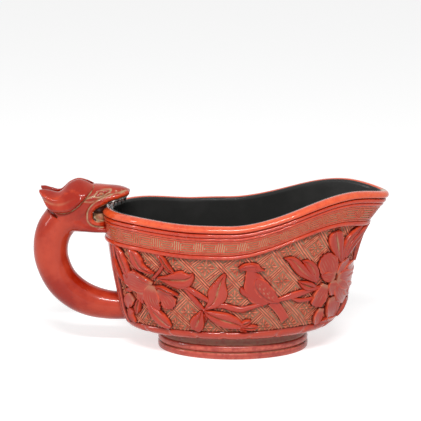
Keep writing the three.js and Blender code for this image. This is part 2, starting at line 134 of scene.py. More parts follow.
def round_turns(steps=ROUND_STEPS):
    return np.linspace(0, 2 * math.pi, steps, endpoint=False)


def rim_top(along):
    return (RIM_HEIGHT + SPOUT_RISE * ease(-0.12, 0.765, along) - TIP_DIP * ease(0.75, 1.25, along)
            + HANDLE_END_RISE * ease(0.35, 0.85, -along) - RIM_SAG * bump(along, 0.3, 0.25))


def rim_reach(along):
    spoutward = np.maximum(0, along - SPOUT_DRAW_FROM) / (1 - SPOUT_DRAW_FROM)
    return (RIM_HALF[1] - HANDLE_END_DRAW * ease(-0.85, -0.35, along) - BELLY_DRAW * ease(-0.3, 0.2, along)
            - SPOUT_DRAW * spoutward ** SPOUT_DRAW_POWER)


def wall_face(turn, share):
    """Face of the wall: turn 0 at the spout and pi at the handle, share 0 at the foot and 1 at the rim."""
    along, across = np.cos(turn), np.sin(turn)
    spoutward = (1 + along) / 2
    roundness = HANDLE_ROUNDNESS + (SPOUT_ROUNDNESS - HANDLE_ROUNDNESS) * spoutward
    power = HANDLE_FLARE_POWER + (SPOUT_FLARE_POWER - HANDLE_FLARE_POWER) * spoutward
    swell = (1 - (1 - np.clip(share / BELLY_SHARE, 0, 1)) ** 2) ** (1 / roundness)
    flare = ease(0, 1, (np.maximum(0, share - FLARE_SHARE) / FLARE_REACH) ** power)
    flare = flare / ease(0, 1, ((1 - FLARE_SHARE) / FLARE_REACH) ** power)
    belly, rim = BELLY_MIDDLE + BELLY_HALF[0] * along, RIM_MIDDLE + RIM_HALF[0] * along
    x = JOINT_HALF[0] * along
    x = x + (belly - x) * swell + (rim - belly) * flare
    belly, rim = BELLY_HALF[1] * across, rim_reach(along) * across
    y = JOINT_HALF[1] * across
    y = y + (belly - y) * swell + (rim - belly) * flare
    return np.stack([x, y, JOINT_HEIGHT + share * (rim_top(along) - JOINT_HEIGHT)], -1)


def wall_point(turn, share, out):
    """Places that lie out from the wall's face, or in from it where out is negative."""
    turn, share, out = np.broadcast_arrays(turn, share, out)
    low = np.maximum(share, SHARE_STEP)
    round_way = wall_face(turn + SLOPE_STEP, low) - wall_face(turn - SLOPE_STEP, low)
    up_way = wall_face(turn, low + SHARE_STEP) - wall_face(turn, low - SHARE_STEP)
    normal = np.cross(round_way, up_way)
    normal /= np.linalg.norm(normal, axis=-1, keepdims=True)
    return wall_face(turn, share) + out[..., None] * normal


def share_at_drop(turn, drop):
    return 1 - drop / (rim_top(np.cos(turn)) - JOINT_HEIGHT)


def running_length(points):
    return np.concatenate([[0], np.cumsum(np.linalg.norm(np.diff(points, axis=0), axis=1))])


class WallDrawing:
    """The wall laid flat: s runs round it from the middle of the near side, v up it from the border."""

    def __init__(self):
        self.turns = np.linspace(-math.pi - 0.5, math.pi + 0.5, 1001)
        shares = np.linspace(0, 1, 301)
        self.s_at_turn = running_length(wall_point(self.turns, DRAWING_SHARE, 0.0))
        self.s_at_turn -= np.interp(-math.pi / 2, self.turns, self.s_at_turn)
        rows = wall_face(self.turns[:, None], shares[None, :])
        steps = np.linalg.norm(np.diff(rows, axis=1), axis=2)
        lengths = np.concatenate([np.zeros((len(rows), 1)), np.cumsum(steps, axis=1)], axis=1)
        lengths -= np.array([[np.interp(FIELD_BOTTOM, shares, row)] for row in lengths])
        self.v_steps = np.linspace(-6, 78, 421)
        self.share_at_v = np.array([np.interp(self.v_steps, row, shares) for row in lengths])
        tops = share_at_drop(self.turns, FIELD_DROP)
        self.v_top = np.array([np.interp(top, shares, row) for top, row in zip(tops, lengths)])
        self.spout = float(np.interp(0, self.turns, self.s_at_turn))
        self.handle = float(np.interp(-math.pi, self.turns, self.s_at_turn))

    def mirrored(self, s):
        return 2 * self.spout - s

    def top_of_field(self, s):
        return np.interp(s, self.s_at_turn, self.v_top)

    def place(self, s, v, out):
        turn = np.interp(s, self.s_at_turn, self.turns)
        i = (turn - self.turns[0]) / (self.turns[1] - self.turns[0])
        j = (v - self.v_steps[0]) / (self.v_steps[1] - self.v_steps[0])
        i = np.clip(i, 0, len(self.turns) - 1.001)
        j = np.clip(j, 0, len(self.v_steps) - 1.001)
        i0, j0 = i.astype(int), j.astype(int)
        a, b, table = i - i0, j - j0, self.share_at_v
        share = ((1 - a) * ((1 - b) * table[i0, j0] + b * table[i0, j0 + 1])
                 + a * ((1 - b) * table[i0 + 1, j0] + b * table[i0 + 1, j0 + 1]))
        return wall_point(turn, share, out)


WALL = WallDrawing()


# Meshes

def smooth_path(points, t):
    """Places at t, 0 to 1, on a smooth line through the points, which are evenly spread over t."""
    points = np.asarray(points, float)
    if points.ndim == 1:
        return smooth_path(points[:, None], t)[..., 0]
    ends = [2 * points[0] - points[1], 2 * points[-1] - points[-2]]
    full = np.vstack([ends[:1], points, ends[1:]])
    place = np.clip(t, 0, 1) * (len(points) - 1)
    k = np.minimum(place.astype(int), len(points) - 2)
    u = (place - k)[..., None]
    a, b, c, d = full[k], full[k + 1], full[k + 2], full[k + 3]
    return b + 0.5 * u * (c - a + u * (2 * a - 5 * b + 4 * c - d + u * (3 * (b - c) + d - a)))


def grid_faces(rows, columns, close_rows=False, close_columns=False):
    """Quads between the points of a grid that is stored row by row."""
    r = np.arange(rows if close_rows else rows - 1)
    c = np.arange(columns if close_columns else columns - 1)
    r, c = np.meshgrid(r, c, indexing="ij")
    r2, c2 = (r + 1) % rows, (c + 1) % columns
    quads = np.stack([r * columns + c, r * columns + c2, r2 * columns + c2, r2 * columns + c], -1)
    return quads.reshape(-1, 4)


def outward(points, faces, middle=0.0):
    """The faces, turned over if the body that they close, seen from the middle, is inside out."""
    volume = 0.0
    for face in faces:
        corners = points[face] - middle
        for k in range(1, face.shape[-1] - 1):
            volume += np.sum(corners[:, 0] * np.cross(corners[:, k], corners[:, k + 1]))
    return faces if volume >= 0 else [face[:, ::-1] for face in faces]


def new_object(name, places, faces, edges=()):
    """An object from points and from arrays of faces, one array for each number of corners."""
    mesh = bpy.data.meshes.new(name)
    mesh.from_pydata(places.tolist(), list(edges), [corners for face in faces for corners in face.tolist()])
    obj = bpy.data.objects.new(name, mesh)
    bpy.context.scene.collection.objects.link(obj)
    return obj


def add_mesh(name, points, faces, material, masks=None, sharp=None):
    """A piece from points in millimetres, with a value of each mask at every point."""
    obj = new_object(name, points * MM + (FOOT_MIDDLE, 0, 0), outward(points, faces))
    mesh = obj.data
    for label, values in (masks or {}).items():
        mesh.attributes.new(label, "FLOAT", "POINT").data.foreach_set("value", values.astype(np.float32))
    mesh.polygons.foreach_set("use_smooth", [True] * len(mesh.polygons))
    if sharp is not None:
        mesh.set_sharp_from_angle(angle=math.radians(sharp))
    mesh.materials.append(material)
    return obj


def set_piece(obj, slot, *nodes):
    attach(obj, BODY)
    if nodes:
        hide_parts(*nodes)


def ring_mesh(name, rows, material, masks=None, sharp=None):
    """A closed ring from rows that all go round it, the first joined to the last."""
    faces = grid_faces(rows.shape[0], rows.shape[1], True, True)
    return add_mesh(name, rows.reshape(-1, 3), [faces], material, masks, sharp)


def tube_mesh(name, rows, material, masks=None, sharp=None):
    """A body from rows that go round it, closed at each end by a fan."""
    count, around = rows.shape[:2]
    points = np.vstack([rows.reshape(-1, 3), rows[0].mean(0), rows[-1].mean(0)])
    masks = {label: np.append(values, [values[0], values[-1]]) for label, values in (masks or {}).items()}
    i = np.arange(around)
    j = (i + 1) % around
    hub, last = np.full(around, count * around), (count - 1) * around
    caps = np.vstack([np.stack([hub, j, i], -1), np.stack([hub + 1, i + last, j + last], -1)])
    return add_mesh(name, points, [grid_faces(count, around, False, True), caps], material, masks, sharp)


def evaluated(obj):
    """Points and faces of an object with its modifiers applied, in place of the object."""
    made = bpy.data.meshes.new_from_object(obj.evaluated_get(bpy.context.evaluated_depsgraph_get()))
    obj.modifiers.clear()
    places = np.empty(len(made.vertices) * 3)
    made.vertices.foreach_get("co", places)
    corners = np.empty(len(made.loops), int)
    made.loops.foreach_get("vertex_index", corners)
    sizes = np.empty(len(made.polygons), int)
    made.polygons.foreach_get("loop_total", sizes)
    starts = np.concatenate([[0], np.cumsum(sizes)[:-1]])
    found = [corners[starts[sizes == n][:, None] + np.arange(n)] for n in np.unique(sizes)]
    first = obj.data
    bpy.data.objects.remove(obj)
    for mesh in (first, made):
        bpy.data.meshes.remove(mesh)
    return places.reshape(-1, 3), found


def join_shapes(shapes):
    """One set of points and faces from several."""
    points, by_size, start = [], {}, 0
    for shape_points, shape_faces in shapes:
        points.append(shape_points)
        for face in shape_faces:
            by_size.setdefault(face.shape[1], []).append(face + start)
        start += len(shape_points)
    return np.vstack(points), [np.vstack(found) for found in by_size.values()]


def keep_faces(points, faces, chosen):
    """Only the faces that are chosen by their corners, and only the points that they use."""
    kept = [face[chosen(points[face])] for face in faces]
    kept = [face for face in kept if len(face)]
    used = np.zeros(len(points), bool)
    for face in kept:
        used[face] = True
    number = np.cumsum(used) - 1
    return points[used], [number[face] for face in kept]


# Node trees

def set_inputs(made, inputs):
    """Join a node's inputs, by name or place, to outputs of other nodes, or set them to values."""
    for label, source in inputs.items():
        if isinstance(source, bpy.types.NodeSocket):
            made.id_data.links.new(source, made.inputs[label])
        else:
            made.inputs[label].default_value = source
    return made


def node(tree, kind, inputs=None, **settings):
    made = tree.nodes.new(kind)
    for key, value in settings.items():
        setattr(made, key, value)
    return set_inputs(made, inputs or {})


def new_group(name, kind, inputs, outputs):
    """A node group with named sockets, each with its kind and, where it has one, its default."""
    group = bpy.data.node_groups.new(name, kind)
    for direction, sockets in (("INPUT", inputs), ("OUTPUT", outputs)):
        for label, value, *default in sockets:
            socket = group.interface.new_socket(label, in_out=direction, socket_type="NodeSocket" + value)
            if default:
                socket.default_value = default[0]
    return group, node(group, "NodeGroupInput").outputs, node(group, "NodeGroupOutput")


def blend_colour(tree, factor, first, second):
    return node(tree, "ShaderNodeMix", {0: factor, 6: first, 7: second}, data_type="RGBA").outputs[2]


def sum_up(tree, operation, first, second, clamp=False):
    made = node(tree, "ShaderNodeMath", {0: first, 1: second}, operation=operation, use_clamp=clamp)
    return made.outputs[0]


def noise(tree, place, scale, detail):
    return node(tree, "ShaderNodeTexNoise", {
        "Vector": place, "Scale": scale, "Detail": detail, "Roughness": 0.55}).outputs["Fac"]


def ramp(tree, value, start, end):
    return node(tree, "ShaderNodeMapRange", {"Value": value, "From Min": start, "From Max": end},
                interpolation_type="SMOOTHSTEP").outputs["Result"]


def object_place(tree):
    return node(tree, "ShaderNodeTexCoord").outputs["Object"]


# Materials

def lacquer_wear_and_light_group():
    """Colour of old lacquer: cloudy depth, edges lightened by rubbing and by painted highlight, pale
    dust in the cuts, small dark pits, and painted shade near black where the Dark mask is set.
    """
    group, given, made = new_group("Lacquer Wear and Painted Light", "ShaderNodeTree", [
        ("Lacquer", "Color", (0.5, 0.06, 0.04, 1)), ("Cloud Colour", "Color", (0.6, 0.12, 0.08, 1)),
        ("Rubbed Colour", "Color", (0.7, 0.15, 0.08, 1)), ("Dust Colour", "Color", (0.45, 0.34, 0.2, 1)),
        ("Cloud", "Float", 0.5), ("Edge", "Float", 0.0), ("Dust", "Float", 0.0), ("Dark", "Float", 0.0),
        ("Pits", "Float", 0.3)], [("Colour", "Color"), ("Roughness", "Float"), ("Height", "Float")])
    place = object_place(group)
    broad, fine, grain = (noise(group, place, *look) for look in ((45, 4), (420, 3), (1500, 2)))
    cloud = sum_up(group, "MULTIPLY", ramp(group, broad, 0.4, 0.64), given["Cloud"])
    # Edges are lightened partly by rubbing and partly by a painted highlight
    rubbed_sheen = sum_up(group, "MULTIPLY", given["Edge"], ramp(group, fine, 0.3, 0.6), True)
    pit = sum_up(group, "MULTIPLY", ramp(group, fine, 0.66, 0.74), given["Pits"], True)
    broken = sum_up(group, "MULTIPLY", given["Dust"],
                    sum_up(group, "ADD", ramp(group, fine, 0.25, 0.6), 0.45), True)
    # Last comes the Dark mask, which blends towards near black as painted shade
    colour = given["Lacquer"]
    for factor, other in ((cloud, given["Cloud Colour"]), (rubbed_sheen, given["Rubbed Colour"]),
                          (pit, (0.12, 0.02, 0.015, 1)), (broken, given["Dust Colour"]),
                          (given["Dark"], (0.035, 0.012, 0.01, 1))):
        colour = blend_colour(group, factor, colour, other)
    rough = sum_up(group, "ADD", sum_up(group, "MULTIPLY", broken, 0.5),
                   sum_up(group, "MULTIPLY", ramp(group, broad, 0.35, 0.7), 0.1))
    height = sum_up(group, "SUBTRACT", sum_up(group, "MULTIPLY", grain, 0.4), pit)
    set_inputs(made, {"Colour": colour, "Roughness": sum_up(group, "ADD", rough, 0.17),
                      "Height": sum_up(group, "ADD", height, sum_up(group, "MULTIPLY", broad, 0.8))})
    return group


def new_material(name):
    material = bpy.data.materials.new(name)
    material.use_nodes = True
    return material, material.node_tree


def set_shader(tree, height, depth, inputs):
    """Join or set the shader's inputs, and give its surface a relief of this depth in metres."""
    raised = node(tree, "ShaderNodeBump", {"Height": height, "Distance": depth, "Strength": 0.6})
    set_inputs(tree.nodes["Principled BSDF"], {**inputs, "Normal": raised.outputs["Normal"]})


def lacquer_material(group, name, colours, cloud, pits, coat, gloss, dusty=True):
    """Lacquer that reads from the piece's own masks where it is dusty, where rubbing and a painted
    highlight lighten it, and where painted shade darkens it.
    """
    material, tree = new_material(name)
    labels = ("Lacquer", "Cloud Colour", "Rubbed Colour", "Dust Colour")
    wear_and_light = node(tree, "ShaderNodeGroup", node_tree=group)
    set_inputs(wear_and_light, {**{label: (*colour, 1) for label, colour in zip(labels, colours)},
                      "Cloud": cloud, "Pits": pits})
    # Dust, Dark for painted shade, and Edge for rubbing with painted highlight
    for mask in ("Dust", "Dark", "Edge") if dusty else ():
        read = node(tree, "ShaderNodeAttribute", attribute_name=mask.lower())
        set_inputs(wear_and_light, {mask: read.outputs["Fac"]})
    set_shader(tree, wear_and_light.outputs["Height"], 0.00012, {
        "Base Color": wear_and_light.outputs["Colour"], "Roughness": wear_and_light.outputs["Roughness"],
        "Specular IOR Level": gloss, "Coat Weight": coat, "Coat Roughness": 0.07})
    return material


def wood_material():
    material, tree = new_material("Carcass Wood")
    stretch = node(tree, "ShaderNodeMapping", {"Vector": object_place(tree), "Scale": (30, 260, 260)})
    grain = noise(tree, stretch.outputs["Vector"], 1.0, 4)
    set_shader(tree, grain, 0.0002, {"Roughness": 0.75, "Base Color": blend_colour(
        tree, grain, (0.3, 0.19, 0.1, 1), (0.16, 0.09, 0.045, 1))})
    return material


def tooth_material():
    material, tree = new_material("Silvered Tooth")
    patches = noise(tree, object_place(tree), 700, 3)
    set_shader(tree, patches, 0.0002, {"Metallic": 0.75, "Roughness": 0.32, "Base Color": blend_colour(
        tree, ramp(tree, patches, 0.4, 0.6), (0.42, 0.4, 0.37, 1), (0.05, 0.04, 0.035, 1))})
    return material


def seen_plainly(tree):
    """1 on rays that show a surface to the camera, also in metal or through glass."""
    path = node(tree, "ShaderNodeLightPath").outputs
    seen = sum_up(tree, "MAXIMUM", path["Is Camera Ray"], path["Is Glossy Ray"])
    return sum_up(tree, "MAXIMUM", seen, path["Is Transmission Ray"])


def floor_material():
    """A pale floor that the camera sees as white where nothing shades it."""
    material, tree = new_material("Studio Floor")
    tree.nodes.remove(tree.nodes["Principled BSDF"])
    diffuse = node(tree, "ShaderNodeBsdfDiffuse", {"Color": (0.8, 0.8, 0.8, 1)})
    lift = sum_up(tree, "MULTIPLY", seen_plainly(tree), bpy.context.scene.ewer_stage.floor_lift)
    glow = node(tree, "ShaderNodeEmission", {"Strength": lift})
    both = node(tree, "ShaderNodeAddShader", {0: diffuse.outputs[0], 1: glow.outputs[0]})
    set_inputs(tree.nodes["Material Output"], {"Surface": both.outputs[0]})
    return material


MATERIALS = {}


def materials():
    """Every finish of the ewer, made at the first call."""
    if MATERIALS:
        return MATERIALS
    finish, group = bpy.context.scene.ewer_finish, lacquer_wear_and_light_group()
    red, bright, dust = finish.red, finish.bright, finish.dust
    # Colours of the lacquer, its clouds, where rubbing and painted highlight lighten it, and its dust,
    # then the strength of the clouds and the pits, the coat and the specular level
    for part, *look in (
            ("carving", "Carved Red Lacquer",
             (red, (0.56, 0.06, 0.032), (0.8, 0.09, 0.03), dust), 0.5, 0.25, 0.6, 0.15),
            ("diaper", "Diaper Ground Lacquer",
             ((0.58, 0.07, 0.035), (0.66, 0.13, 0.07), (0.88, 0.26, 0.15), (0.56, 0.3, 0.17)),
             0.7, 0.25, 0.3, 0.15),
            ("fret", "Fret Band Lacquer",
             ((0.6, 0.05, 0.022), (0.66, 0.1, 0.05), (0.82, 0.15, 0.07), (0.64, 0.43, 0.24)),
             0.7, 0.25, 0.5, 0.15),
            ("moulding", "Rubbed Lip Lacquer",
             (bright, (0.84, 0.1, 0.022), (0.92, 0.15, 0.04), (0.55, 0.48, 0.36)), 0.7, 0.15, 0.8, 0.15),
            ("bead", "Bead Lacquer",
             ((0.5, 0.026, 0.004), (0.6, 0.045, 0.009), (0.76, 0.08, 0.02), dust), 0.7, 0.15, 0.8, 0.15),
            ("handle", "Handle Lacquer",
             ((0.36, 0.014, 0.002), (0.54, 0.055, 0.022), (0.7, 0.065, 0.014), dust), 1.0, 0.2, 0.45, 0.1),
            ("foot", "Foot Lacquer",
             ((0.5, 0.06, 0.04), (0.38, 0.045, 0.035), (0.78, 0.18, 0.11), dust), 0.9, 0.4, 0.3, 0.3),
            ("black", "Black Lining Lacquer",
             ((0.026, 0.026, 0.025), (0.036, 0.035, 0.034), (0.04, 0.03, 0.025), (0.06, 0.05, 0.04)),
             0.8, 0.1, 0.05, 0.15, False)):
        MATERIALS[part] = lacquer_material(group, *look)
    MATERIALS.update(wood=wood_material(), tooth=tooth_material())
    return MATERIALS


# What repeats

def finish_tree(tree, geometry, given, made):
    """The end of a node tree: real meshes, with the finish set on them."""
    real = node(tree, "GeometryNodeRealizeInstances", {"Geometry": geometry})
    painted = node(tree, "GeometryNodeSetMaterial", {
        "Geometry": real.outputs[0], "Material": given["Finish"]})
    set_inputs(made, {0: painted.outputs[0]})
    return tree


def repeat_tree():
    """Node tree that repeats its mesh on a grid, and can turn the whole grid."""
    tree, given, made = new_group("Repeat a Tile", "GeometryNodeTree", [
        ("Tile", "Geometry"), ("Columns", "Int"), ("Rows", "Int"), ("Column Pitch", "Float"),
        ("Row Pitch", "Float"), ("Turn", "Float"), ("Middle", "Vector"), ("Finish", "Material")],
        [("Pattern", "Geometry")])
    wide, high = (sum_up(tree, "MULTIPLY", sum_up(tree, "SUBTRACT", given[count], 1), given[pitch])
                  for count, pitch in (("Columns", "Column Pitch"), ("Rows", "Row Pitch")))
    grid = node(tree, "GeometryNodeMeshGrid", {
        "Size X": wide, "Size Y": high, "Vertices X": given["Columns"], "Vertices Y": given["Rows"]})
    spread = node(tree, "GeometryNodeInstanceOnPoints", {
        "Points": grid.outputs["Mesh"], "Instance": given["Tile"]})
    angle = node(tree, "ShaderNodeCombineXYZ", {"Z": given["Turn"]})
    turned = node(tree, "GeometryNodeTransform", {
        "Geometry": spread.outputs[0], "Translation": given["Middle"], "Rotation": angle.outputs[0]})
    return finish_tree(tree, turned.outputs[0], given, made)


def run_tree(tree, name, points, faces, edges=(), **inputs):
    """Points and faces of a mesh put through a node tree, whose inputs are set by identifier."""
    obj = new_object(name, points, faces, edges)
    modifier = obj.modifiers.new(name, "NODES")
    modifier.node_group = tree
    sockets = {item.name: item.identifier for item in tree.interface.items_tree if item.in_out == "INPUT"}
    for label, value in inputs.items():
        modifier[sockets[label.replace("_", " ")]] = value
    return evaluated(obj)


def ridge(start, end, width, top, foot, parts, taper):
    """A straight ridge with sloping sides, cut in parts along its length."""
    start, end = np.asarray(start, float), np.asarray(end, float)
    way = (end - start) / np.linalg.norm(end - start)
    side = np.array([-way[1], way[0]])
    middle = start + (end - start) * np.linspace(0, 1, parts + 1)[:, None]
    rows = [np.hstack([middle + side * off * width / 2, np.full((parts + 1, 1), height)])
            for off, height in ((-1, foot), (-taper, top), (taper, top), (1, foot))]
    last = 4 * parts
    ends = np.array([[0, 1, 2, 3], [last + 3, last + 2, last + 1, last]])
    return np.stack(rows, 1).reshape(-1, 3), [np.vstack([grid_faces(parts + 1, 4, False, True), ends])]


def petal_tile(angle, start, end, width, top, foot):
    """A pointed petal with a flat rim and a crease along it."""
    way = np.array([math.cos(angle), math.sin(angle)])
    side = np.array([-way[1], way[0]])
    outline = [(0, 0), (0.4, -0.72), (0.72, -1), (0.9, -0.6), (1, 0), (0.9, 0.6), (0.72, 1), (0.4, 0.72)]
    low = [way * (start + (end - start) * a) + side * b * width / 2 for a, b in outline]
    high = [way * (start + (end - start) * (0.1 + 0.84 * a)) + side * b * width * 0.36 for a, b in outline]
    crease = [way * (start + (end - start) * a) for a in (0.3, 0.8)]
    points = np.array([[*p, height] for row, height in ((low, foot), (high, top), (crease, top - 0.16))
                       for p in row])
    walls = grid_faces(2, 8, False, True)
    inner = np.array([[9, 10, 17, 16], [14, 15, 16, 17]])
    fans = np.array([[8, 9, 16], [15, 8, 16], [10, 11, 17], [11, 12, 17], [12, 13, 17], [13, 14, 17]])
    return points, [np.vstack([walls, inner]), fans]


# Settings

def length_setting(name, description, default):
    return bpy.props.FloatProperty(
        name=name, description=description, default=default, unit="LENGTH", subtype="DISTANCE")


def colour_setting(name, description, default):
    return bpy.props.FloatVectorProperty(
        name=name, description=description, default=default, subtype="COLOR", min=0, max=1)


class EwerCarving(bpy.types.PropertyGroup):
    head_fineness: length_setting(
        "Head Fineness", "Size of the cells of the handle's and the head's skin", 0.0004)
    diaper_pitch: length_setting("Diaper Pitch", "Distance between the flowers of the diaper ground", 0.011)
    fret_pitch: length_setting("Fret Pitch", "Length of one spiral of the key fret", 0.0106)
    border_pitch: length_setting("Border Pitch", "Length of one petal of the bottom border", 0.0142)


class EwerFinish(bpy.types.PropertyGroup):
    red: colour_setting("Red Lacquer", "Colour of the carved lacquer", (0.44, 0.025, 0.008))
    bright: colour_setting("Rubbed Lacquer", "Colour of the lip and the mouldings", (0.74, 0.06, 0.012))
    dust: colour_setting("Dust", "Colour of the pale deposit in the cuts", (0.5, 0.36, 0.2))


class EwerStage(bpy.types.PropertyGroup):
    key: bpy.props.FloatProperty(
        name="Key Light", description="Strength of the main light", default=5.3, unit="POWER")
    fill: bpy.props.FloatProperty(
        name="Fill Light", description="Strength of the light from the other side", default=1.1, unit="POWER")
    sky: bpy.props.FloatProperty(
        name="Sky", description="Strength of the even light from all round", default=0.36)
    floor_lift: bpy.props.FloatProperty(
        name="Floor Lift", description="How much lighter than lit the floor looks to the camera", default=0.6)


# Carved field

# Tiles in a row, and the flower that the grid is set out from
DIAPER_TILES = 31
DIAPER_MIDDLE = (15.75, 33.5)
STRIP_MIDDLE = 10.4
STRIP_HALF = 2.3
STRIP_SPAN = (-0.6, 42.4)
# How far the diaper runs in under the fillet, the border and the frame ridges
UNDER_FILLET, UNDER_BORDER, UNDER_RIDGES = 0.8, 0.7, 1.2
# Width of a ridge's top as a share of its foot
DIAPER_TAPER, FRET_TAPER = 0.74, 0.76


def wall_rows(rows):
    """Rows round the wall, each given as (share or function of the turn, out)."""
    turns = round_turns()
    return np.array([wall_point(turns, share(turns) if callable(share) else share, out)
                     for share, out in rows])


def at_drop(drop):
    return lambda turn: share_at_drop(turn, drop)


def repeated(name, tile, **inputs):
    """A tile repeated by the node tree, in the tile's own units."""
    tree = bpy.data.node_groups.get("Repeat a Tile") or repeat_tree()
    return run_tree(tree, name, *tile, **inputs)


def inside_field(corners):
    """Which faces of the flat drawing lie in the carved field or under its edges."""
    s = np.minimum(corners[..., 0], WALL.mirrored(corners[..., 0]))
    inside = ((corners[..., 1] < WALL.top_of_field(s) + UNDER_FILLET) & (corners[..., 1] > -UNDER_BORDER)
              & (s > WALL.handle + STRIP_MIDDLE - UNDER_RIDGES))
    return inside.all(-1)


def diaper_tile(pitch):
    """A flower in its square, with the ridges of two of the bars that part it from the next ones."""
    shapes, foot, top, half = [], GROUND_OUT - 0.1, DIAPER_TOP, pitch / 2
    for k, angle in enumerate(round_turns(8)):
        shapes.append(petal_tile(angle, 0.8, 4.5 if k % 2 else 3.3, 1.25, top, foot))
        shapes.append(petal_tile(angle + math.pi / 8, 2.2, 3.7, 0.8, top - 0.04, foot))
    ring = np.column_stack([np.cos(round_turns(8)), np.sin(round_turns(8))])
    hub = np.vstack([np.column_stack([ring * size, np.full(8, height)])
                     for size, height in ((0.66, foot), (0.5, top + 0.05), (0.2, top + 0.12))])
    shapes.append((hub, [grid_faces(3, 8, False, True), np.arange(16, 24)[None, :]]))
    for off, width, crest in ((-1.12, 0.58, top - 0.04), (0, 0.72, top + 0.1), (1.12, 0.58, top - 0.04)):
        for start, end, parts in (((half + off, -half), (half + off, half), 7),
                                  ((1.6 - half, half + off), (half - 1.6, half + off), 5)):
            shapes.append(ridge(start, end, width, crest, foot, parts, DIAPER_TAPER))
    return join_shapes(shapes)


def diaper_masks(height, out):
    """Pale in its hollows with painted shade deep in them, lightened on its ridges by rubbing and
    painted highlight, and less pale and darker towards the bottom of the wall.
    """
    depth = (DIAPER_TOP - out) / (DIAPER_TOP - GROUND_OUT)
    low = 1 - ease(5, 17, height)
    return {"dust": (1 - 0.25 * low) * np.clip(depth * 1.5 - 0.4, 0, 1),
            "edge": np.clip(1 - depth * 2.2, 0, 1),
            # Painted shade deep in the hollows, and a darkening towards the bottom of the wall
            "dark": (0.5 + 0.2 * low) * np.clip(depth * 2 - 0.9, 0, 1) + 0.05 * low}


class EWER_OT_field(bpy.types.Operator):
    """Make the sunk ground of the carved field, as a closed skin over the carcass"""
    bl_idname = "ewer.field"
    bl_label = "Field Ground"

    def execute(self, context):
        low, top_drop = FIELD_BOTTOM - 0.004, FIELD_DROP - 0.3
        rows = [(lambda turn, t=t: low + (share_at_drop(turn, top_drop) - low) * t ** 1.25, GROUND_OUT)
                for t in np.linspace(0, 1, 60)]
        rows += [(share, CORE_FACE) for share, _ in rows[::12][::-1]]
        count = len(rows) * ROUND_STEPS
        # The sunk ground is dusty all over and darkened a little as painted shade in the recess
        masks = {"dust": np.full(count, 0.85), "dark": np.full(count, 0.32)}
        obj = ring_mesh("field_ground", wall_rows(rows), materials()["diaper"], masks, 60)
        set_piece(obj, "red_lacquer", "carved_wall")
        return {"FINISHED"}


class EWER_OT_diaper(bpy.types.Operator):
    """Make the diaper of flowers and bars over the ground"""
    bl_idname = "ewer.diaper"
    bl_label = "Diaper"

    def execute(self, context):
        look, pitch = materials()["diaper"], context.scene.ewer_carving.diaper_pitch / MM
        s, v = DIAPER_MIDDLE
        points, faces = keep_faces(*repeated(
            "diaper", diaper_tile(pitch), Columns=DIAPER_TILES, Rows=DIAPER_TILES, Column_Pitch=pitch,
            Row_Pitch=pitch, Turn=math.radians(45), Middle=(s + 4 * pitch * math.sqrt(2), v, 0),
            Finish=look), inside_field)
        for side, name in SIDES:
            kept, kept_faces = keep_faces(points, faces, lambda corners, side=side: (
                side * (corners[..., 0].mean(-1) - WALL.spout) > 0))
            masks = diaper_masks(kept[:, 1], kept[:, 2])
            obj = add_mesh(f"diaper_{name}", WALL.place(*kept.T), kept_faces, look, masks, 25)
            set_piece(obj, "red_lacquer")
        return {"FINISHED"}


class EWER_OT_strips(bpy.types.Operator):
    """Make the ridges that frame the field, and the plain panel behind the handle"""
    bl_idname = "ewer.strips"
    bl_label = "Frame Ridges"

    def execute(self, context):
        look = materials()["carving"]
        # Half a section, from its outer edge to its middle: place along the wall, out, painted shade at its
        # feet and middle groove, rubbing and painted highlight
        half = [(STRIP_HALF + 0.1, -1.3, 1, 0), (STRIP_HALF, 0.5, 0.5, 0), (STRIP_HALF - 0.35, 0.95, 0, 0.6),
                (STRIP_HALF * 0.45, 1.05, 0, 0.4), (0.35, 0.85, 0.2, 0)]
        section = np.array([*((-off, *rest) for off, *rest in half), (0, 0.3, 1, 0), *half[::-1]])
        off, out, dark, edge = section.T
        heights = np.linspace(*STRIP_SPAN, 60)
        masks = {"dark": np.tile(dark, len(heights)), "edge": np.tile(edge, len(heights))}
        for side, name in SIDES:
            s = WALL.handle + STRIP_MIDDLE + off
            s = s if side < 0 else WALL.mirrored(s)
            rows = WALL.place(*np.broadcast_arrays(s, heights[:, None], out))
            obj = tube_mesh(f"frame_ridges_{name}", rows, look, masks, 50)
            set_piece(obj, "red_lacquer", f"frame_strip_{name}")
        reach = STRIP_MIDDLE - 1.0
        s, v = np.meshgrid(np.linspace(WALL.handle - reach, WALL.handle + reach, 24),
                           np.linspace(*STRIP_SPAN, 50))
        top, low = (WALL.place(s, v, np.full(s.shape, out)) for out in (0.0, CORE_FACE))
        rows = np.concatenate([top, low[:, ::-1]], 1)
        set_piece(tube_mesh("plain_panel", rows, look, None, 50), "red_lacquer")
        return {"FINISHED"}


# Mouldings, fret and border

ROLL_FULLNESS = 0.7
LIP_WORN = 0.07
FRET_MARGIN = 0.7
FRET_COLUMNS = 10
FRET_ROWS = 5
FRET_TOP = 0.68
FRET_FOOT = 0.05
FRET_RIDGE = 0.58
FRET_PART = 1.6


def moulding(name, section, material, corner="dark", worn=0.0):
    """A moulding that follows the rim, worn pale inside at the spout's tip. Its section is (drop, out,
    corner, edge) in order round it, where corner says how much painted shade, or on the fret's ground how
    much dust, it has, and edge how much rubbing and painted highlight lighten it."""
    rows = wall_rows([(at_drop(drop), out) for drop, out, _, _ in section])
    values = {label: np.repeat([row[k] for row in section], ROUND_STEPS).astype(float)
              for label, k in ((corner, 2), ("edge", 3))}
    if worn:
        outs = np.array([row[1] for row in section])
        values["dust"] = (ease(0.3, -0.6, outs)[:, None] * bump(np.sin(round_turns() / 2), 0, worn)).ravel()
    return ring_mesh(name, rows, material, values, 50)


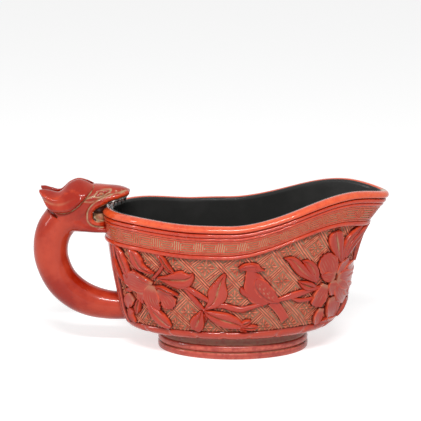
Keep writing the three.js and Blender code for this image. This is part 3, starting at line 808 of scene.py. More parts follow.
def roll_section(top, height, proud, depth, count):
    """A rounded crown from its lower corner to its upper one, with painted shade in its corners and
    rubbing and painted highlight on its top.
    """
    section = []
    for t in np.linspace(0, 1, count + 1):
        angle = math.pi * t
        lift = math.sin(angle) ** ROLL_FULLNESS if 0 < t < 1 else 0
        section.append((top + height / 2 * (1 + math.cos(angle)), proud - depth + depth * lift,
                        max(0, 0.75 - 2.5 * lift), 0.5 * lift ** 4))
    return section


def fret_tile(column, row):
    """One squared spiral of the key fret, and the uprights that part it from the next one."""
    path = [(0, 0), (0, 4), (7, 4), (7, 1), (1, 1), (1, 3), (6, 3), (6, 2), (2, 2)]
    lines = [*zip(path[:-1], path[1:]), ((0, 0), (FRET_COLUMNS, 0)), ((8, 0), (8, 4)), ((9, 0), (9, 4))]
    shapes = []
    for line in lines:
        start, end = np.array(line) * (column, row)
        length = np.linalg.norm(end - start)
        level = line[0][1] == line[1][1]
        width = FRET_RIDGE * (row if level else column)
        past = (end - start) / length * (0.29 * column if level else 0.3 * row)
        parts = max(1, int(length / FRET_PART))
        shapes.append(ridge(start - past, end + past, width, FRET_TOP, FRET_FOOT, parts, FRET_TAPER))
    return join_shapes(shapes)


class EWER_OT_rim(bpy.types.Operator):
    """Make the lip, the double bead and the fillet"""
    bl_idname = "ewer.rim"
    bl_label = "Rim Mouldings"

    def execute(self, context):
        # Sections from the lower inner corner outwards and up: drop, out, painted shade, rubbing and painted
        # highlight
        lip = [(LIP_HEIGHT, -2.6, 0, 0), (LIP_HEIGHT, 0, 0.9, 0), (3.2, 0.5, 0.55, 0), (2.93, 1.07, 0.25, 0),
               (2.55, 1.42, 0, 0.1), (2.1, 1.57, 0, 0.3), (1.65, 1.52, 0, 0.5), (1.15, 1.3, 0, 0.6),
               (0.65, 0.9, 0, 0.5), (0.2, 0.3, 0, 0.5), (-0.1, -0.4, 0, 0.5), (-0.22, -1.1, 0, 0.6),
               (-0.12, -1.9, 0, 0.7), (0.1, -2.4, 0.3, 0.2), (0.5, -2.6, 0, 0)]
        bead = [(BEAD_DROP + BEAD_HEIGHT + 0.1, CORE_FACE, 1, 0),
                *roll_section(BEAD_DROP + 2.0, 1.65, 1.05, 0.9, 8),
                *roll_section(BEAD_DROP - 0.05, 2.0, 1.25, 1.05, 8), (BEAD_DROP - 0.15, CORE_FACE, 1, 0)]
        fillet = [(FILLET_DROP + FILLET_HEIGHT + 0.2, CORE_FACE, 1, 0),
                  *roll_section(FILLET_DROP + 0.05, FILLET_HEIGHT, 1.5, 1.35, 9),
                  (FILLET_DROP - 0.1, CORE_FACE, 1, 0)]
        for name, section, finish, worn, part in (
                ("lip", lip, "moulding", LIP_WORN, "rim_lip"), ("double_bead", bead, "bead", 0, "rim_bead"),
                ("fillet", fillet, "bead", 0, "band_fillet")):
            obj = moulding(name, section, materials()[finish], worn=worn)
            set_piece(obj, "bright_lacquer", part)
        return {"FINISHED"}


class EWER_OT_fret(bpy.types.Operator):
    """Make the band with the key fret"""
    bl_idname = "ewer.fret"
    bl_label = "Key Fret"

    def execute(self, context):
        look = materials()["fret"]
        low, high = FRET_DROP + FRET_HEIGHT + 0.15, FRET_DROP - 0.1
        # The band's raised edge: how far in along the band, out, dusty, how much rubbing and painted
        # highlight
        rise = [(0, CORE_FACE, 1, 0), (0, 0.5, 0.9, 0), (0.1, 0.64, 0, 0.5), (0.6, 0.64, 0, 0.3),
                (0.66, 0.15, 1, 0)]
        section = [*((low - inset, *rest) for inset, *rest in rise),
                   *((drop, 0.15, 1, 0) for drop in np.linspace(low - 0.9, high + 0.9, 9)),
                   *((high + inset, *rest) for inset, *rest in rise[::-1])]
        set_piece(moulding("fret_ground", section, look, "dust"), "red_lacquer", "fret_band")
        turns = np.linspace(-math.pi, math.pi, 1441)
        lengths = running_length(wall_point(turns, share_at_drop(turns, FRET_DROP + FRET_HEIGHT / 2), 0.6))
        length = lengths[-1]
        units = int(round(length / (context.scene.ewer_carving.fret_pitch / MM)))
        pitch, row = length / units, (FRET_HEIGHT - 2 * FRET_MARGIN) / (FRET_ROWS - 0.4)
        points, faces = repeated(
            "fret", fret_tile(pitch / FRET_COLUMNS, row), Columns=units, Rows=1, Column_Pitch=pitch,
            Row_Pitch=1.0, Turn=0.0, Middle=(length / 2 - pitch / 2, 0, 0), Finish=look)
        run, rise, out = points.T
        turn = np.interp(run % length, lengths, turns)
        drop = FRET_DROP + FRET_HEIGHT - FRET_MARGIN - 0.3 * row - rise
        # Dust in the grooves, painted shade at the ridges' feet, and a little rubbing and painted highlight
        # on the tops
        masks = {"dust": np.clip(1.8 - out / 0.3, 0, 1), "edge": (out > 0.5) * 0.2, "dark": 0.5 * (out < 0.3)}
        obj = add_mesh("key_fret", wall_point(turn, share_at_drop(turn, drop), out), faces, look, masks, 25)
        set_piece(obj, "red_lacquer")
        return {"FINISHED"}


class EWER_OT_border(bpy.types.Operator):
    """Make the low border of pinched petals round the bottom of the wall"""
    bl_idname = "ewer.border"
    bl_label = "Petal Border"

    def execute(self, context):
        turns = round_turns(ROUND_STEPS * 2)
        lengths = running_length(wall_point(np.append(turns, 2 * math.pi), 0.04, 0.9))
        petals = int(round(lengths[-1] / (context.scene.ewer_carving.border_pitch / MM)))
        phase = (lengths[:-1] / lengths[-1] * petals) % 1
        pinch = bump(np.minimum(phase, 1 - phase), 0, 0.09)
        rows, dark, edge = [], [], []
        # Share of the wall's height, out, how deep it is pinched, how much rubbing and painted highlight it
        # has
        for share, out, follow, rub_sheen in (
                (0.0, -COAT, 0, 0), (0.0, 0.05, 0.2, 0), (0.006, 0.35, 0.3, 0.2), (0.014, 0.7, 0.6, 0.5),
                (0.026, 1.0, 1, 0.6), (0.038, 1.12, 1, 0.4), (0.05, 1.0, 1, 0.3), (0.06, 0.66, 0.8, 0),
                (0.068, 0.1, 0.4, 0), (0.072, -0.5, 0, 0), (0.072, CORE_FACE, 0, 0)):
            height = out - follow * 0.75 * pinch * (out > 0)
            rows.append(wall_point(turns, share, height))
            # Painted shade where the border dips low, over an even darkening of all of it; rubbing and
            # painted highlights lighten its crown and the pinches
            dark.append(0.12 + 0.7 * np.clip((0.25 - height) * 1.4, 0, 1))
            edge.append(0.6 * rub_sheen * (1 - 0.75 * pinch) + 0.7 * pinch * follow)
        masks = {"dark": np.concatenate(dark), "edge": np.concatenate(edge)}
        obj = ring_mesh("petal_border", np.array(rows), materials()["bead"], masks, 60)
        set_piece(obj, "red_lacquer", "base_border")
        return {"FINISHED"}


# Lining, foot and carcass

class EWER_OT_lining(bpy.types.Operator):
    """Make the black inside of the bowl, from under the lip to a floor that rounds into the wall"""
    bl_idname = "ewer.lining"
    bl_label = "Black Lining"

    def execute(self, context):
        inner = [(share, -WALL_THICKNESS) for share in np.linspace(FLOOR_EDGE, 0.93, 34)]
        inner += [(at_drop(drop), out - WALL_THICKNESS) for drop, out in (
            (2.0, 0), (0.9, 0.05), (0.35, 0.35), (0.02, 0.9), (0.12, 1.5), (1.0, 1.5), (2.4, 0.6))]
        inner += [(share, 0.6 - WALL_THICKNESS) for share in np.linspace(0.93, 0.01, 14)]
        rows = wall_rows(inner)
        floor = wall_rows([(0.01, -WALL_THICKNESS)])[0, :, 2].max()
        middle = np.append(rows[0, :, :2].mean(0), floor)
        reach = np.linspace(0.02, 1, 24)[:-1, None, None]
        dish = middle + (rows[0] - middle) * reach ** np.array([1, 1, 5])
        rows = np.concatenate([dish, rows])
        obj = tube_mesh("black_lining", rows, materials()["black"], None, 60)
        set_piece(obj, "black_lacquer", "interior_lacquer")
        return {"FINISHED"}


class EWER_OT_foot(bpy.types.Operator):
    """Make the moulded foot"""
    bl_idname = "ewer.foot"
    bl_label = "Moulded Foot"

    def execute(self, context):
        # Section from the inside over the resting ring and up: inset, height, dusty with painted shade,
        # rubbing with painted highlight
        section = [(6, 0, 0, 0), (0.7, 0, 0, 0), (0.25, 0.15, 0, 0.6), (0, 0.6, 0, 0.6), (-0.05, 1.9, 0, 0.1),
                   (0, 2.9, 0, 0.6), (0.3, 3.2, 0.3, 0.4), (0.95, 3.4, 0.8, 0)]
        for t in np.linspace(0, 1, 12)[1:-1]:
            arch = math.sin(math.pi * t)
            section.append((0.9 * (1 - arch ** 0.7), 3.5 + 3.5 * t, 0, 0.7 * arch ** 2))
        section += [(1.1, 7.05, 0.9, 0), (1.0, 7.2, 0.5, 0.2)]
        section += [(WAIST_INSET + 0.75 * math.sin(math.pi * t), 7.15 + 5.5 * t, 0.6 + 0.3 * t ** 4, 0)
                    for t in np.linspace(0.1, 1, 10)]
        section.append((6, 12.68, 1, 0))
        along, across = np.cos(round_turns()), np.sin(round_turns())
        face = np.column_stack([FOOT_HALF[0] * along, FOOT_HALF[1] * across])
        way_out = np.column_stack([FOOT_HALF[1] * along, FOOT_HALF[0] * across])
        way_out /= np.linalg.norm(way_out, axis=1, keepdims=True)
        rows = np.array([np.column_stack([face - inset * way_out, np.full(ROUND_STEPS, height)])
                         for inset, height, _, _ in section])
        dusty, rubbed_sheen = (np.repeat([row[k] for row in section], ROUND_STEPS) for k in (2, 3))
        # The dusty rows, most of all the waist under the bowl, also get painted shade; rubbing and a painted
        # highlight lighten the rolls
        masks = {"dust": 0.45 * dusty, "dark": 0.6 * dusty, "edge": rubbed_sheen}
        obj = ring_mesh("moulded_foot", rows, materials()["foot"], masks, 50)
        set_piece(obj, "foot_lacquer", "foot_ring")
        return {"FINISHED"}


class EWER_OT_carcass(bpy.types.Operator):
    """Make the wooden bowl between the coats, and finish the parts that keep their shape"""
    bl_idname = "ewer.carcass"
    bl_label = "Carcass Finish"

    def execute(self, context):
        outside, inside = CORE_FACE - 0.1, 0.7 - WALL_THICKNESS
        shares = np.linspace(0.004, 0.94, 26)
        rows = wall_rows([(-0.015, outside), *((share, outside) for share in shares),
                          (at_drop(1.6), outside), (at_drop(1.6), inside),
                          *((share, inside) for share in shares[::-1])])
        set_piece(tube_mesh("turned_carcass", rows, materials()["wood"], None, 60), "core_wood", "wood_core")
        for name, finish in (("handle_core", "wood"), ("base_panel", "black")):
            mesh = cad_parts[name].data
            mesh.materials.clear()
            mesh.materials.append(materials()[finish])
        return {"FINISHED"}


# Relief

# Each form is drawn on the flat wall by a spine and its half widths:
# (kind, level, spine [(s, v)...], half widths), and without the kind where a table has one kind
FOLIAGE = [
    ("leaf", 0.95, [(-14.6, 12.5), (-10.6, 15.4), (-8.7, 18.6), (-8.1, 21.7), (-7.6, 24.7), (-7.0, 27.4),
     (-6.2, 29.6), (-5.8, 30.9)], [0.3, 2.9, 4.7, 4.8, 3.5, 2.1, 1.3, 0.4]),
    ("leaf", 0.95, [(-15.0, 11.7), (-11.9, 9.6), (-8.5, 8.0), (-4.5, 6.6), (-0.3, 5.4), (3.1, 4.1),
     (5.3, 3.2)], [0.3, 2.2, 3.3, 4.0, 3.4, 2.1, 0.6]),
    ("leaf", 1.15, [(3.5, 4.4), (5.5, 5.0), (7.4, 5.8), (8.6, 6.6)], [0.8, 1.5, 1.2, 0.3]),
    ("leaf", 1.05, [(4.3, 2.8), (7.3, 2.8), (10.4, 2.7), (12.6, 3.0)], [0.6, 1.3, 1.3, 0.3]),
    ("leaf", 0.8, [(2.2, 2.4), (4.4, 1.6), (7.0, 0.4)], [0.5, 0.6, 0.2]),
    ("leaf", 0.9, [(-16.1, 11.6), (-17.2, 8.6), (-18.4, 6.1), (-19.7, 3.4), (-20.8, 1.2)],
     [0.6, 2.2, 3.4, 3.7, 2.4]),
    ("leaf", 0.7, [(-14.8, 10.1), (-14.1, 8.5), (-14.5, 6.7), (-14.7, 5.5)], [0.8, 0.9, 0.6, 0.2]),
    ("leaf", 1.35, [(-39.3, 22.5), (-36.1, 22.1), (-33.0, 20.8), (-30.1, 19.9), (-27.8, 19.2)],
     [0.6, 1.1, 1.1, 0.7, 0.2]),
    ("leaf", 0.8, [(-49.2, 15.3), (-50.5, 12.5), (-52.0, 9.2), (-53.0, 6.5)], [0.9, 1.5, 1.7, 0.6]),
    ("leaf", 0.95, [(-45.7, 13.9), (-43.2, 10.6), (-40.8, 7.6), (-37.8, 4.6), (-35.1, 2.7), (-33.6, 2.0)],
     [0.4, 2.0, 3.5, 3.7, 2.4, 0.6]),
    ("leaf", 0.9, [(-52.8, 41.0), (-50.5, 38.4), (-49.1, 35.2), (-47.1, 32.4), (-43.5, 30.5), (-40.1, 29.4)],
     [0.4, 2.4, 3.2, 2.4, 1.3, 0.3]),
    ("leaf", 1.0, [(-38.1, 39.5), (-36.0, 37.5), (-34.4, 34.8), (-32.3, 32.1), (-30.3, 30.5)],
     [1.2, 1.3, 1.4, 1.2, 0.4]),
    ("leaf", 1.0, [(-38.1, 27.3), (-34.4, 27.0), (-31.3, 26.8), (-28.1, 26.9), (-24.4, 27.3), (-22.0, 28.8),
     (-21.0, 30.7)], [0.5, 1.7, 3.4, 4.6, 4.4, 2.3, 0.2]),
    ("leaf", 0.85, [(-61.6, 41.2), (-59.5, 38.5), (-57.9, 34.9), (-56.4, 31.0), (-55.8, 27.9), (-56.0, 24.9)],
     [0.5, 1.6, 2.1, 2.3, 1.9, 0.4]),
    ("leaf", 0.8, [(-63.6, 35), (-62.4, 29), (-58.6, 22.6)], [0.2, 1.6, 0.4]),
    ("leaf", 0.8, [(-56.2, 8.3), (-57.9, 5.5), (-57.7, 2.8), (-57.3, 0.8)], [1.8, 1.8, 1.7, 0.8]),
    ("leaf", 0.95, [(22.3, 37.8), (26.4, 36.6), (29.8, 33.8), (33.6, 30.3), (37.8, 27.0), (42.4, 23.6)],
     [0.2, 1.7, 2.5, 2.6, 1.8, 0.3]),
    ("leaf", 0.75, [(32.7, 35.4), (35.5, 34.2), (38.6, 31.4), (40.9, 28.0), (42.4, 24.6)],
     [0.2, 1.7, 2.6, 2.4, 1.0]),
    ("leaf", 0.8, [(32.3, 25.0), (35.3, 23.2), (38.4, 22.0), (41.4, 20.9)], [0.2, 1.9, 2.3, 1.6]),
    ("leaf", 0.9, [(46.5, 49.6), (47.2, 47.8), (49.9, 43.5), (52.3, 39.3), (54.6, 35.0), (56.3, 31.7)],
     [1.8, 3.4, 3.8, 2.9, 1.3, 0.3]),
    ("leaf", 0.85, [(62.9, 52.8), (60.3, 48.6), (57.7, 44.8), (56.9, 39.9), (56.6, 35.6), (56.7, 32.4)],
     [0.6, 1.8, 2.2, 2.1, 1.3, 0.4]),
    ("leaf", 1.15, [(69.6, 52.3), (66.4, 47.2), (62.4, 43.0), (60.1, 39.0), (58.2, 34.6)],
     [0.8, 2.6, 2.7, 2.2, 0.7]),
    ("leaf", 1.0, [(73.2, 30), (74.3, 36), (74, 43), (72.6, 48)], [0.4, 2.6, 2.2, 0.3]),
    ("leaf", 0.9, [(68.5, 12.5), (70.8, 8.1), (70.4, 4.1), (68.3, 0.9)], [1.6, 2.4, 2.2, 0.3]),
]
BRANCHES = [
    (0.9, [(-15.4, 11.6), (-11.9, 13.3), (-6, 14.3), (-1, 13.0), (4, 12.2), (11, 13.9), (17.1, 15.4),
     (23.2, 16.4), (30, 17.9), (38.5, 19.7), (46, 21)],
     [0.5, 0.9, 1.3, 1.5, 1.4, 1.1, 0.9, 1.1, 1.7, 1.3, 0.8]),
    (0.75, [(28.5, 16.9), (33.5, 15), (39.1, 15), (44, 16)], [0.4, 0.95, 0.9, 0.6]),
    (0.7, [(-14.9, 11.6), (-19.3, 16.4), (-24.6, 22.6)], [0.6, 1.2, 0.7]),
    (1.05, [(-24.6, 24), (-18.8, 20.2), (-12.6, 16.6)], [0.9, 1.4, 1.0]),
    (0.75, [(-39.6, 40.6), (-36.4, 36.4), (-36.2, 32.6), (-40.3, 27)], [0.7, 0.8, 0.8, 0.8]),
    (0.7, [(57.5, 31), (57.6, 28), (56.5, 24)], [0.5, 0.6, 0.8]),
    (0.65, [(-45.3, 13.8), (-44, 17), (-42, 21)], [0.5, 0.6, 0.7]),
]
PETALS = [
    (0.95, [(-41.7, 23.0), (-45.5, 22.6), (-49.1, 23.2), (-53.0, 24.3), (-57.4, 24)],
     [1.7, 3.8, 5.0, 5.0, 2.6]),
    (1.2, [(-41.0, 24.0), (-44.7, 25.6), (-47.8, 27.5), (-50.8, 29.4)], [0.7, 1.1, 1.0, 0.5]),
    (1.0, [(-38.6, 20.7), (-36.1, 18.6), (-33.9, 16.6), (-32.6, 14.3), (-31.8, 12.9)],
     [1.1, 2.3, 3.8, 4.2, 2.8]),
    (1.2, [(-41.0, 23.2), (-42.0, 19.0), (-41.8, 15.4), (-40.6, 12.5), (-39, 11.2)],
     [1.7, 4.1, 4.5, 3.9, 2.2]),
    (0.9, [(-48.0, 18.6), (-48.2, 15.7), (-47.8, 13.6)], [2.3, 2.3, 0.9]),
    (0.95, [(-53.9, 15.5), (-56.1, 13.7), (-57.8, 11.2), (-58.6, 9.4)], [2.1, 3.0, 2.7, 1.3]),
    (0.8, [(-52.4, 20.4), (-55, 18.8), (-58, 18.6)], [0.9, 1.2, 0.5]),
    (0.8, [(51.6, 25.2), (50.2, 27.9), (48.6, 31.2), (46.6, 34.2), (45.2, 36.4)], [2.2, 4.4, 5.6, 5.0, 3.2]),
    (0.9, [(55.2, 26), (58.2, 29.6), (61.6, 32.6)], [1.6, 3.6, 2.0]),
    (0.95, [(57, 25), (63.5, 27.4), (69.6, 29.4)], [1.6, 3.8, 2.4]),
    (1.1, [(54.4, 24.2), (58.4, 23.6), (63.4, 22.6), (69.4, 22.0)], [2.0, 4.6, 5.2, 3.0]),
    (1.15, [(54, 23), (57.6, 18.9), (61.4, 15.2), (64.6, 12.4)], [2.2, 4.6, 5.0, 2.8]),
    (1.0, [(60, 20), (65.5, 17.4), (71.6, 15.6)], [2.0, 3.8, 2.4]),
    (1.2, [(52.4, 24.4), (49.6, 25.6), (47.0, 26.2), (45.4, 26.8)], [1.4, 2.5, 2.3, 1.0]),
    (1.3, [(52, 23.6), (52.2, 20.4), (53.6, 17.2)], [1.5, 3.2, 2.6]),
    (1.3, [(47.4, 22.2), (46.0, 18.9), (44.9, 15.5), (43.9, 11.9)], [1.7, 3.3, 4.1, 3.6]),
    (1.0, [(54.4, 15), (55.6, 10.4), (57.2, 5.9), (59.4, 1.4)], [3.2, 4.6, 4.2, 2.4]),
    (0.9, [(48.2, 9.3), (47.6, 5.9), (48.2, 2.6), (49.8, 0.3)], [1.5, 2.7, 2.3, 0.8]),
    (1.05, [(64.4, 1.9), (59.8, 1.1), (55.4, 1.1), (51.6, 1.3)], [0.6, 1.7, 1.9, 0.9]),
]
# The bird perches on the long branch and looks towards the spout
BIRD = [
    ("body", 0.95, [(6.8, 33.1), (7.1, 30.2), (8.4, 27.4), (9.8, 24.4), (12.0, 21.3), (14.8, 18.1),
     (16.4, 15.1)], [2.2, 2.8, 4.4, 5.6, 6.2, 5.2, 2.4]),
    ("body", 0.75, [(3.0, 23.6), (4.2, 21.6), (6.9, 19.6), (10.3, 16.9)], [0.6, 1.4, 1.4, 0.8]),
    ("tail", 0.85, [(18.8, 15.9), (22.2, 12.4), (24.2, 9.9), (25.8, 7.8), (27.2, 5.8)],
     [2.4, 2.3, 2.2, 2.2, 2.3]),
    ("wing", 1.4, [(9.8, 28.0), (11.2, 26.0), (13.4, 23.4), (15.8, 20.8), (18.5, 18.4), (20.9, 16.8),
     (22.8, 16)], [0.8, 2.7, 3.6, 3.6, 2.9, 1.5, 0.3]),
    ("body", 1.25, [(0.2, 33.7), (1.8, 34.1), (3.9, 34.4), (6.5, 34.0), (9.1, 33.4), (10.7, 32.9)],
     [0.3, 1.5, 2.0, 2.4, 2.1, 1.1]),
    ("body", 1.6, [(0.4, 34.0), (3.4, 35.0), (6.4, 35.2), (8.6, 34.6)], [0.3, 0.9, 0.9, 0.3]),
    ("beak", 1.15, [(9.8, 32.9), (11.6, 32.5), (13.4, 32.2)], [1.3, 0.8, 0.1]),
    ("beak", 1.75, [(8.3, 33.5), (8.8, 33.5), (9.3, 33.5)], [0.2, 0.5, 0.2]),
    ("beak", 0.8, [(13.6, 17.6), (14.6, 15.4), (14.2, 13.6)], [0.4, 0.4, 0.4]),
]
RELIEF_GAIN = 1.25
FORM_FINENESS = 0.42
# Rings round a form, from its top outwards: how far out, how high and how dark, a painted shade that
# stands for the shadow at the form's foot
FORM_RINGS = ((0.06, -0.3, 0.55), (0.34, -0.18, 0.85), (0.4, RELIEF_FOOT, 0.85))


# Each top gives the height and the dust of a form, at t along its spine and w, -1 to 1, across it

def crown(w):
    return np.sqrt(np.clip(1.02 - w * w, 0, 1))


def leaf_top(t, w, level):
    wide = np.sin(np.pi * np.clip(t, 0.03, 0.97)) ** 0.6
    halves = np.clip(1 - (2 * np.abs(w) - 1.02) ** 2, 0, 1)
    rib = bump(w, 0.04 * np.sin(5 * t), 0.08) * wide * ease(0.98, 0.7, t)
    out = level + 0.8 * wide * halves ** 0.8 - 0.35 * rib
    out = out + 0.12 * bump(w, 0.82, 0.1) - 0.1 * bump(w, -0.4, 0.1) * wide
    return out - 0.35 * np.abs(w) ** 8, 0.8 * rib * bump(t, 0.5, 0.32)


def petal_top(t, w, level):
    fan = np.clip(t * 1.5, 0, 1)
    out = level + 0.25 * np.sin(np.pi * t) - 0.4 * (1 - w ** 2) * fan * (1 - t * 0.3)
    grooves = np.cos(np.pi * 7 * w + 0.6 * np.sin(6 * t)) * fan * (1 - t ** 3)
    out = out + 0.07 * grooves + 0.25 * bump(np.abs(w), 0.88, 0.2) * fan
    return out - 0.2 * np.abs(w) ** 10, 0.5 * np.clip(-grooves - 0.35, 0, 1) + 0.25 * bump(t, 0.05, 0.12)


def branch_top(t, w, level):
    knots = 0.14 * bump(np.sin(t * 21), 1, 0.25)
    return level * (0.35 + 0.75 * crown(w)) + knots - 0.1, 0.0


def bird_top(t, w, level):
    return level + 0.85 * crown(w) - 0.45, 0.0


def wing_top(t, w, level):
    """A raised rim round rows of small scales."""
    scales = np.cos(2 * np.pi * t * 6.5 + np.pi * (w > 0.1)) * np.cos(2 * np.pi * w * 1.6)
    inside = bump(w, -0.1, 0.5) * ease(0.12, 0.3, t) * ease(0.85, 0.6, t)
    out = level + 0.25 * crown(w) + 0.2 * bump(np.abs(w), 0.75, 0.2)
    return out - 0.22 * inside + 0.1 * scales * inside, 0.65 * np.clip(-scales - 0.3, 0, 1) * inside


def tail_top(t, w, level):
    feather = np.abs(np.cos(np.pi * 1.5 * w))
    return level + 0.25 * feather - 0.1 * np.abs(w) ** 6, 0.3 * (feather < 0.25)


TOPS = {"leaf": leaf_top, "petal": petal_top, "branch": branch_top, "body": bird_top, "beak": bird_top,
        "wing": wing_top, "tail": tail_top}


def carved_form(kind, level, spine, half):
    """Points (s, v, out, dust, edge, dark) and faces of one raised form, with a cut round it darkened
    as painted shade, and closed under the ground. Edge lightens its rim by rubbing and painted highlight."""
    length = running_length(np.array(spine))[-1]
    steps = int(np.clip(length / FORM_FINENESS, 10, 90))
    across = int(np.clip(2.2 * max(half) / FORM_FINENESS, 8, 26))
    t = np.linspace(0, 1, steps + 1)
    if kind in ("leaf", "petal", "body", "wing"):
        t = t - 0.05 / np.pi * np.sin(2 * np.pi * t)
    centre = smooth_path(spine, t)
    way = smooth_path(spine, t + 0.01) - smooth_path(spine, t - 0.01)
    way /= np.linalg.norm(way, axis=1, keepdims=True)
    side = np.stack([-way[:, 1], way[:, 0]], -1)
    even = np.linspace(-1, 1, across + 1)
    w = 0.35 * np.sin(even * math.pi / 2) + 0.65 * even
    half = np.maximum(smooth_path(half, t), 0.06)[:, None]
    if kind == "petal":
        lobes = 0.07 * np.sin(t * 17 + level * 40) * ease(0.4, 0.8, t)
        half = half * (1 + lobes[:, None] * np.where(w > 0, 1, -1))
    flat = centre[:, None] + side[:, None] * (w * half)[..., None]
    if kind == "petal":
        round_end = ease(0.75, 1, t)[:, None] * (1 - w ** 2)
        flat = flat + way[:, None] * (round_end * 1.1 * (1 + 0.25 * np.cos(w * 9)))[..., None]
    out, dust = TOPS[kind](t[:, None], w[None, :], level)
    # The groove that outlines the wing is darkened as painted shade; the rim of every form is lightened by
    # rubbing and painted highlight
    cut = 0.7 * bump(w, -0.62, 0.07) * bump(t, 0.45, 0.4)[:, None] * (kind == "wing")
    heights = np.broadcast_arrays(out * RELIEF_GAIN, dust, np.abs(w) ** 9, cut, flat[..., 0])[:4]
    rings = len(FORM_RINGS)
    full = np.pad(np.dstack([flat, *heights]), ((rings, rings), (rings, rings), (0, 0)), mode="edge")
    spread = np.pad(side, ((rings, rings), (0, 0)), mode="edge")
    for k, (far, height, dark) in enumerate(FORM_RINGS):
        first, last = rings - 1 - k, k - rings
        full[:, first, :2] -= spread * far
        full[:, last, :2] += spread * far
        full[first, :, :2] -= way[0] * far
        full[last, :, :2] += way[-1] * far
        for edge in (full[:, first], full[:, last], full[first], full[last]):
            edge[:, 2:] = (height, 0.0, 0.0, dark)
    rows, columns = full.shape[:2]
    number = np.arange(rows * columns).reshape(rows, columns)
    floor = np.stack([number[:-1, 0], number[1:, 0], number[1:, -1], number[:-1, -1]], -1)
    ends = number[0][None, :], number[-1][::-1][None, :]
    return full.reshape(-1, 6), [np.vstack([grid_faces(rows, columns), floor]), *ends]


class EWER_OT_relief(bpy.types.Operator):
    """Carve the leaves, branches, blossoms and birds"""
    bl_idname = "ewer.relief"
    bl_label = "Carved Relief"

    def execute(self, context):
        for name, forms in (("leaves", FOLIAGE), ("branches", [("branch", *form) for form in BRANCHES]),
                            ("blossoms", [("petal", *form) for form in PETALS]), ("bird", BIRD)):
            drawn = [carved_form(*form) for form in forms]
            masks = dict(zip(("dust", "edge", "dark"), np.vstack([points[:, 3:] for points, _ in drawn]).T))
            for side, side_name in SIDES:
                shapes = []
                for points, faces in drawn:
                    s = points[:, 0] if side < 0 else WALL.mirrored(points[:, 0])
                    placed = WALL.place(s, np.maximum(points[:, 1], 0.1), points[:, 2])
                    shapes.append((placed, outward(placed, faces, placed.mean(0))))
                obj = add_mesh(f"{name}_{side_name}", *join_shapes(shapes), materials()["carving"], masks, 45)
                set_piece(obj, "red_lacquer")
        return {"FINISHED"}


# Handle and head
HANDLE_ROUTE = [(-52, 20.8), (-63, 21.2), (-72.6, 23.4), (-80.7, 27.7), (-87.6, 34.8), (-91.7, 44.5),
                (-92.3, 52.8), (-90.4, 60.4), (-86.2, 66.8)]
HANDLE_RISE = [7.1, 7.4, 8.0, 8.3, 8.4, 8.6, 8.8, 9.0, 9.0]
HANDLE_WIDTH = [6.8, 7.0, 7.4, 7.7, 7.9, 8.0, 8.0, 8.2, 8.4]
SKULL_ROUTE = [(-86, 67.1), (-81.8, 71.6), (-76.3, 75.2), (-69.5, 77.9), (-62.5, 79.3), (-57, 80),
               (-52.6, 80.2)]
SKULL_RISE = [9.0, 9.8, 9.0, 6.7, 4.7, 3.4, 1.7]
SKULL_WIDTH = [8.4, 9.2, 9.6, 9.0, 7.0, 6.0, 3.6]
THROAT_ROUTE = [(-85.5, 65.5), (-80.5, 65.6), (-75.5, 63.6), (-70, 61.9), (-63, 61.4)]
THROAT_RISE = [8.0, 6.4, 4.0, 2.4, 2.0]
THROAT_WIDTH = [8.0, 8.2, 7.8, 7.0, 6.2]

# Lines of the head in side view, and how wide, how deep and how dusty each cut is
EAR_EDGE = [(-69.4, 86.5), (-70.3, 83.4), (-71.8, 81.0), (-73.7, 79.0), (-75.6, 77.0), (-77.6, 74.7),
            (-80.2, 72.7), (-84.2, 71.3), (-88.4, 71.4), (-92.1, 72.8), (-94.4, 75.3)]
LIP_LINE = [(-52, 80.6), (-56.8, 79.3), (-62.7, 77.5), (-66.9, 75.4), (-70, 73.1), (-71.2, 70.3), (-71, 67.3),
            (-69.3, 65.5), (-65.1, 64.8)]
LIP_GROOVE = [(-52.4, 82.0), (-58.6, 80.9), (-64.6, 78.9), (-68.7, 76.7), (-71.6, 74.0), (-73.1, 70.4),
              (-72.8, 66.6), (-70.4, 64.1), (-65.3, 63.1)]
MOUTH_EDGE = [(-51.6, 79.3), (-55.6, 78.4), (-60.2, 76.5), (-64.4, 74.6), (-67.3, 72.8), (-69.1, 71.2),
              (-69.8, 69.6), (-69.5, 67.8), (-68.3, 66.6), (-65.3, 66.2)]
EYE_OUTLINE = [(-69.6, 79.6), (-68.6, 81.0), (-67.0, 82.1), (-64.2, 82.8), (-61.0, 82.5), (-63.4, 80.7),
               (-66.8, 79.3), (-69.6, 79.6)]
CUTS = [
    (EAR_EDGE, 0.5, 0.5, 1.0),
    (LIP_GROOVE, 0.45, 0.5, 0.9),
    (EYE_OUTLINE, 0.42, 0.45, 0.9),
    ([(-74.9, 77.9), (-72.4, 78.9), (-70.9, 79.5), (-69.4, 80)], 0.5, 0.4, 0.8),
    ([(-74.2, 77.2), (-71.8, 76.9), (-69.2, 77.4), (-65.5, 78.7), (-61, 80.6)], 0.5, 0.35, 0.55),
    ([(-58.9, 82.0), (-57.6, 80.9), (-56.2, 80.7), (-55.2, 81.3)], 0.35, 0.45, 0.7),
    ([(-56.0, 82.2), (-55.1, 81.5), (-54.6, 80.6)], 0.3, 0.3, 0.5),
]
CHEEK = [(-70.0, 72.8), (-70.3, 69.7), (-69.9, 67.4), (-68.5, 66.1), (-64.6, 65.7), (-63.8, 62.4),
         (-70, 60.6), (-78, 61), (-84, 66), (-84, 74), (-78, 78.5), (-69, 78.5)]
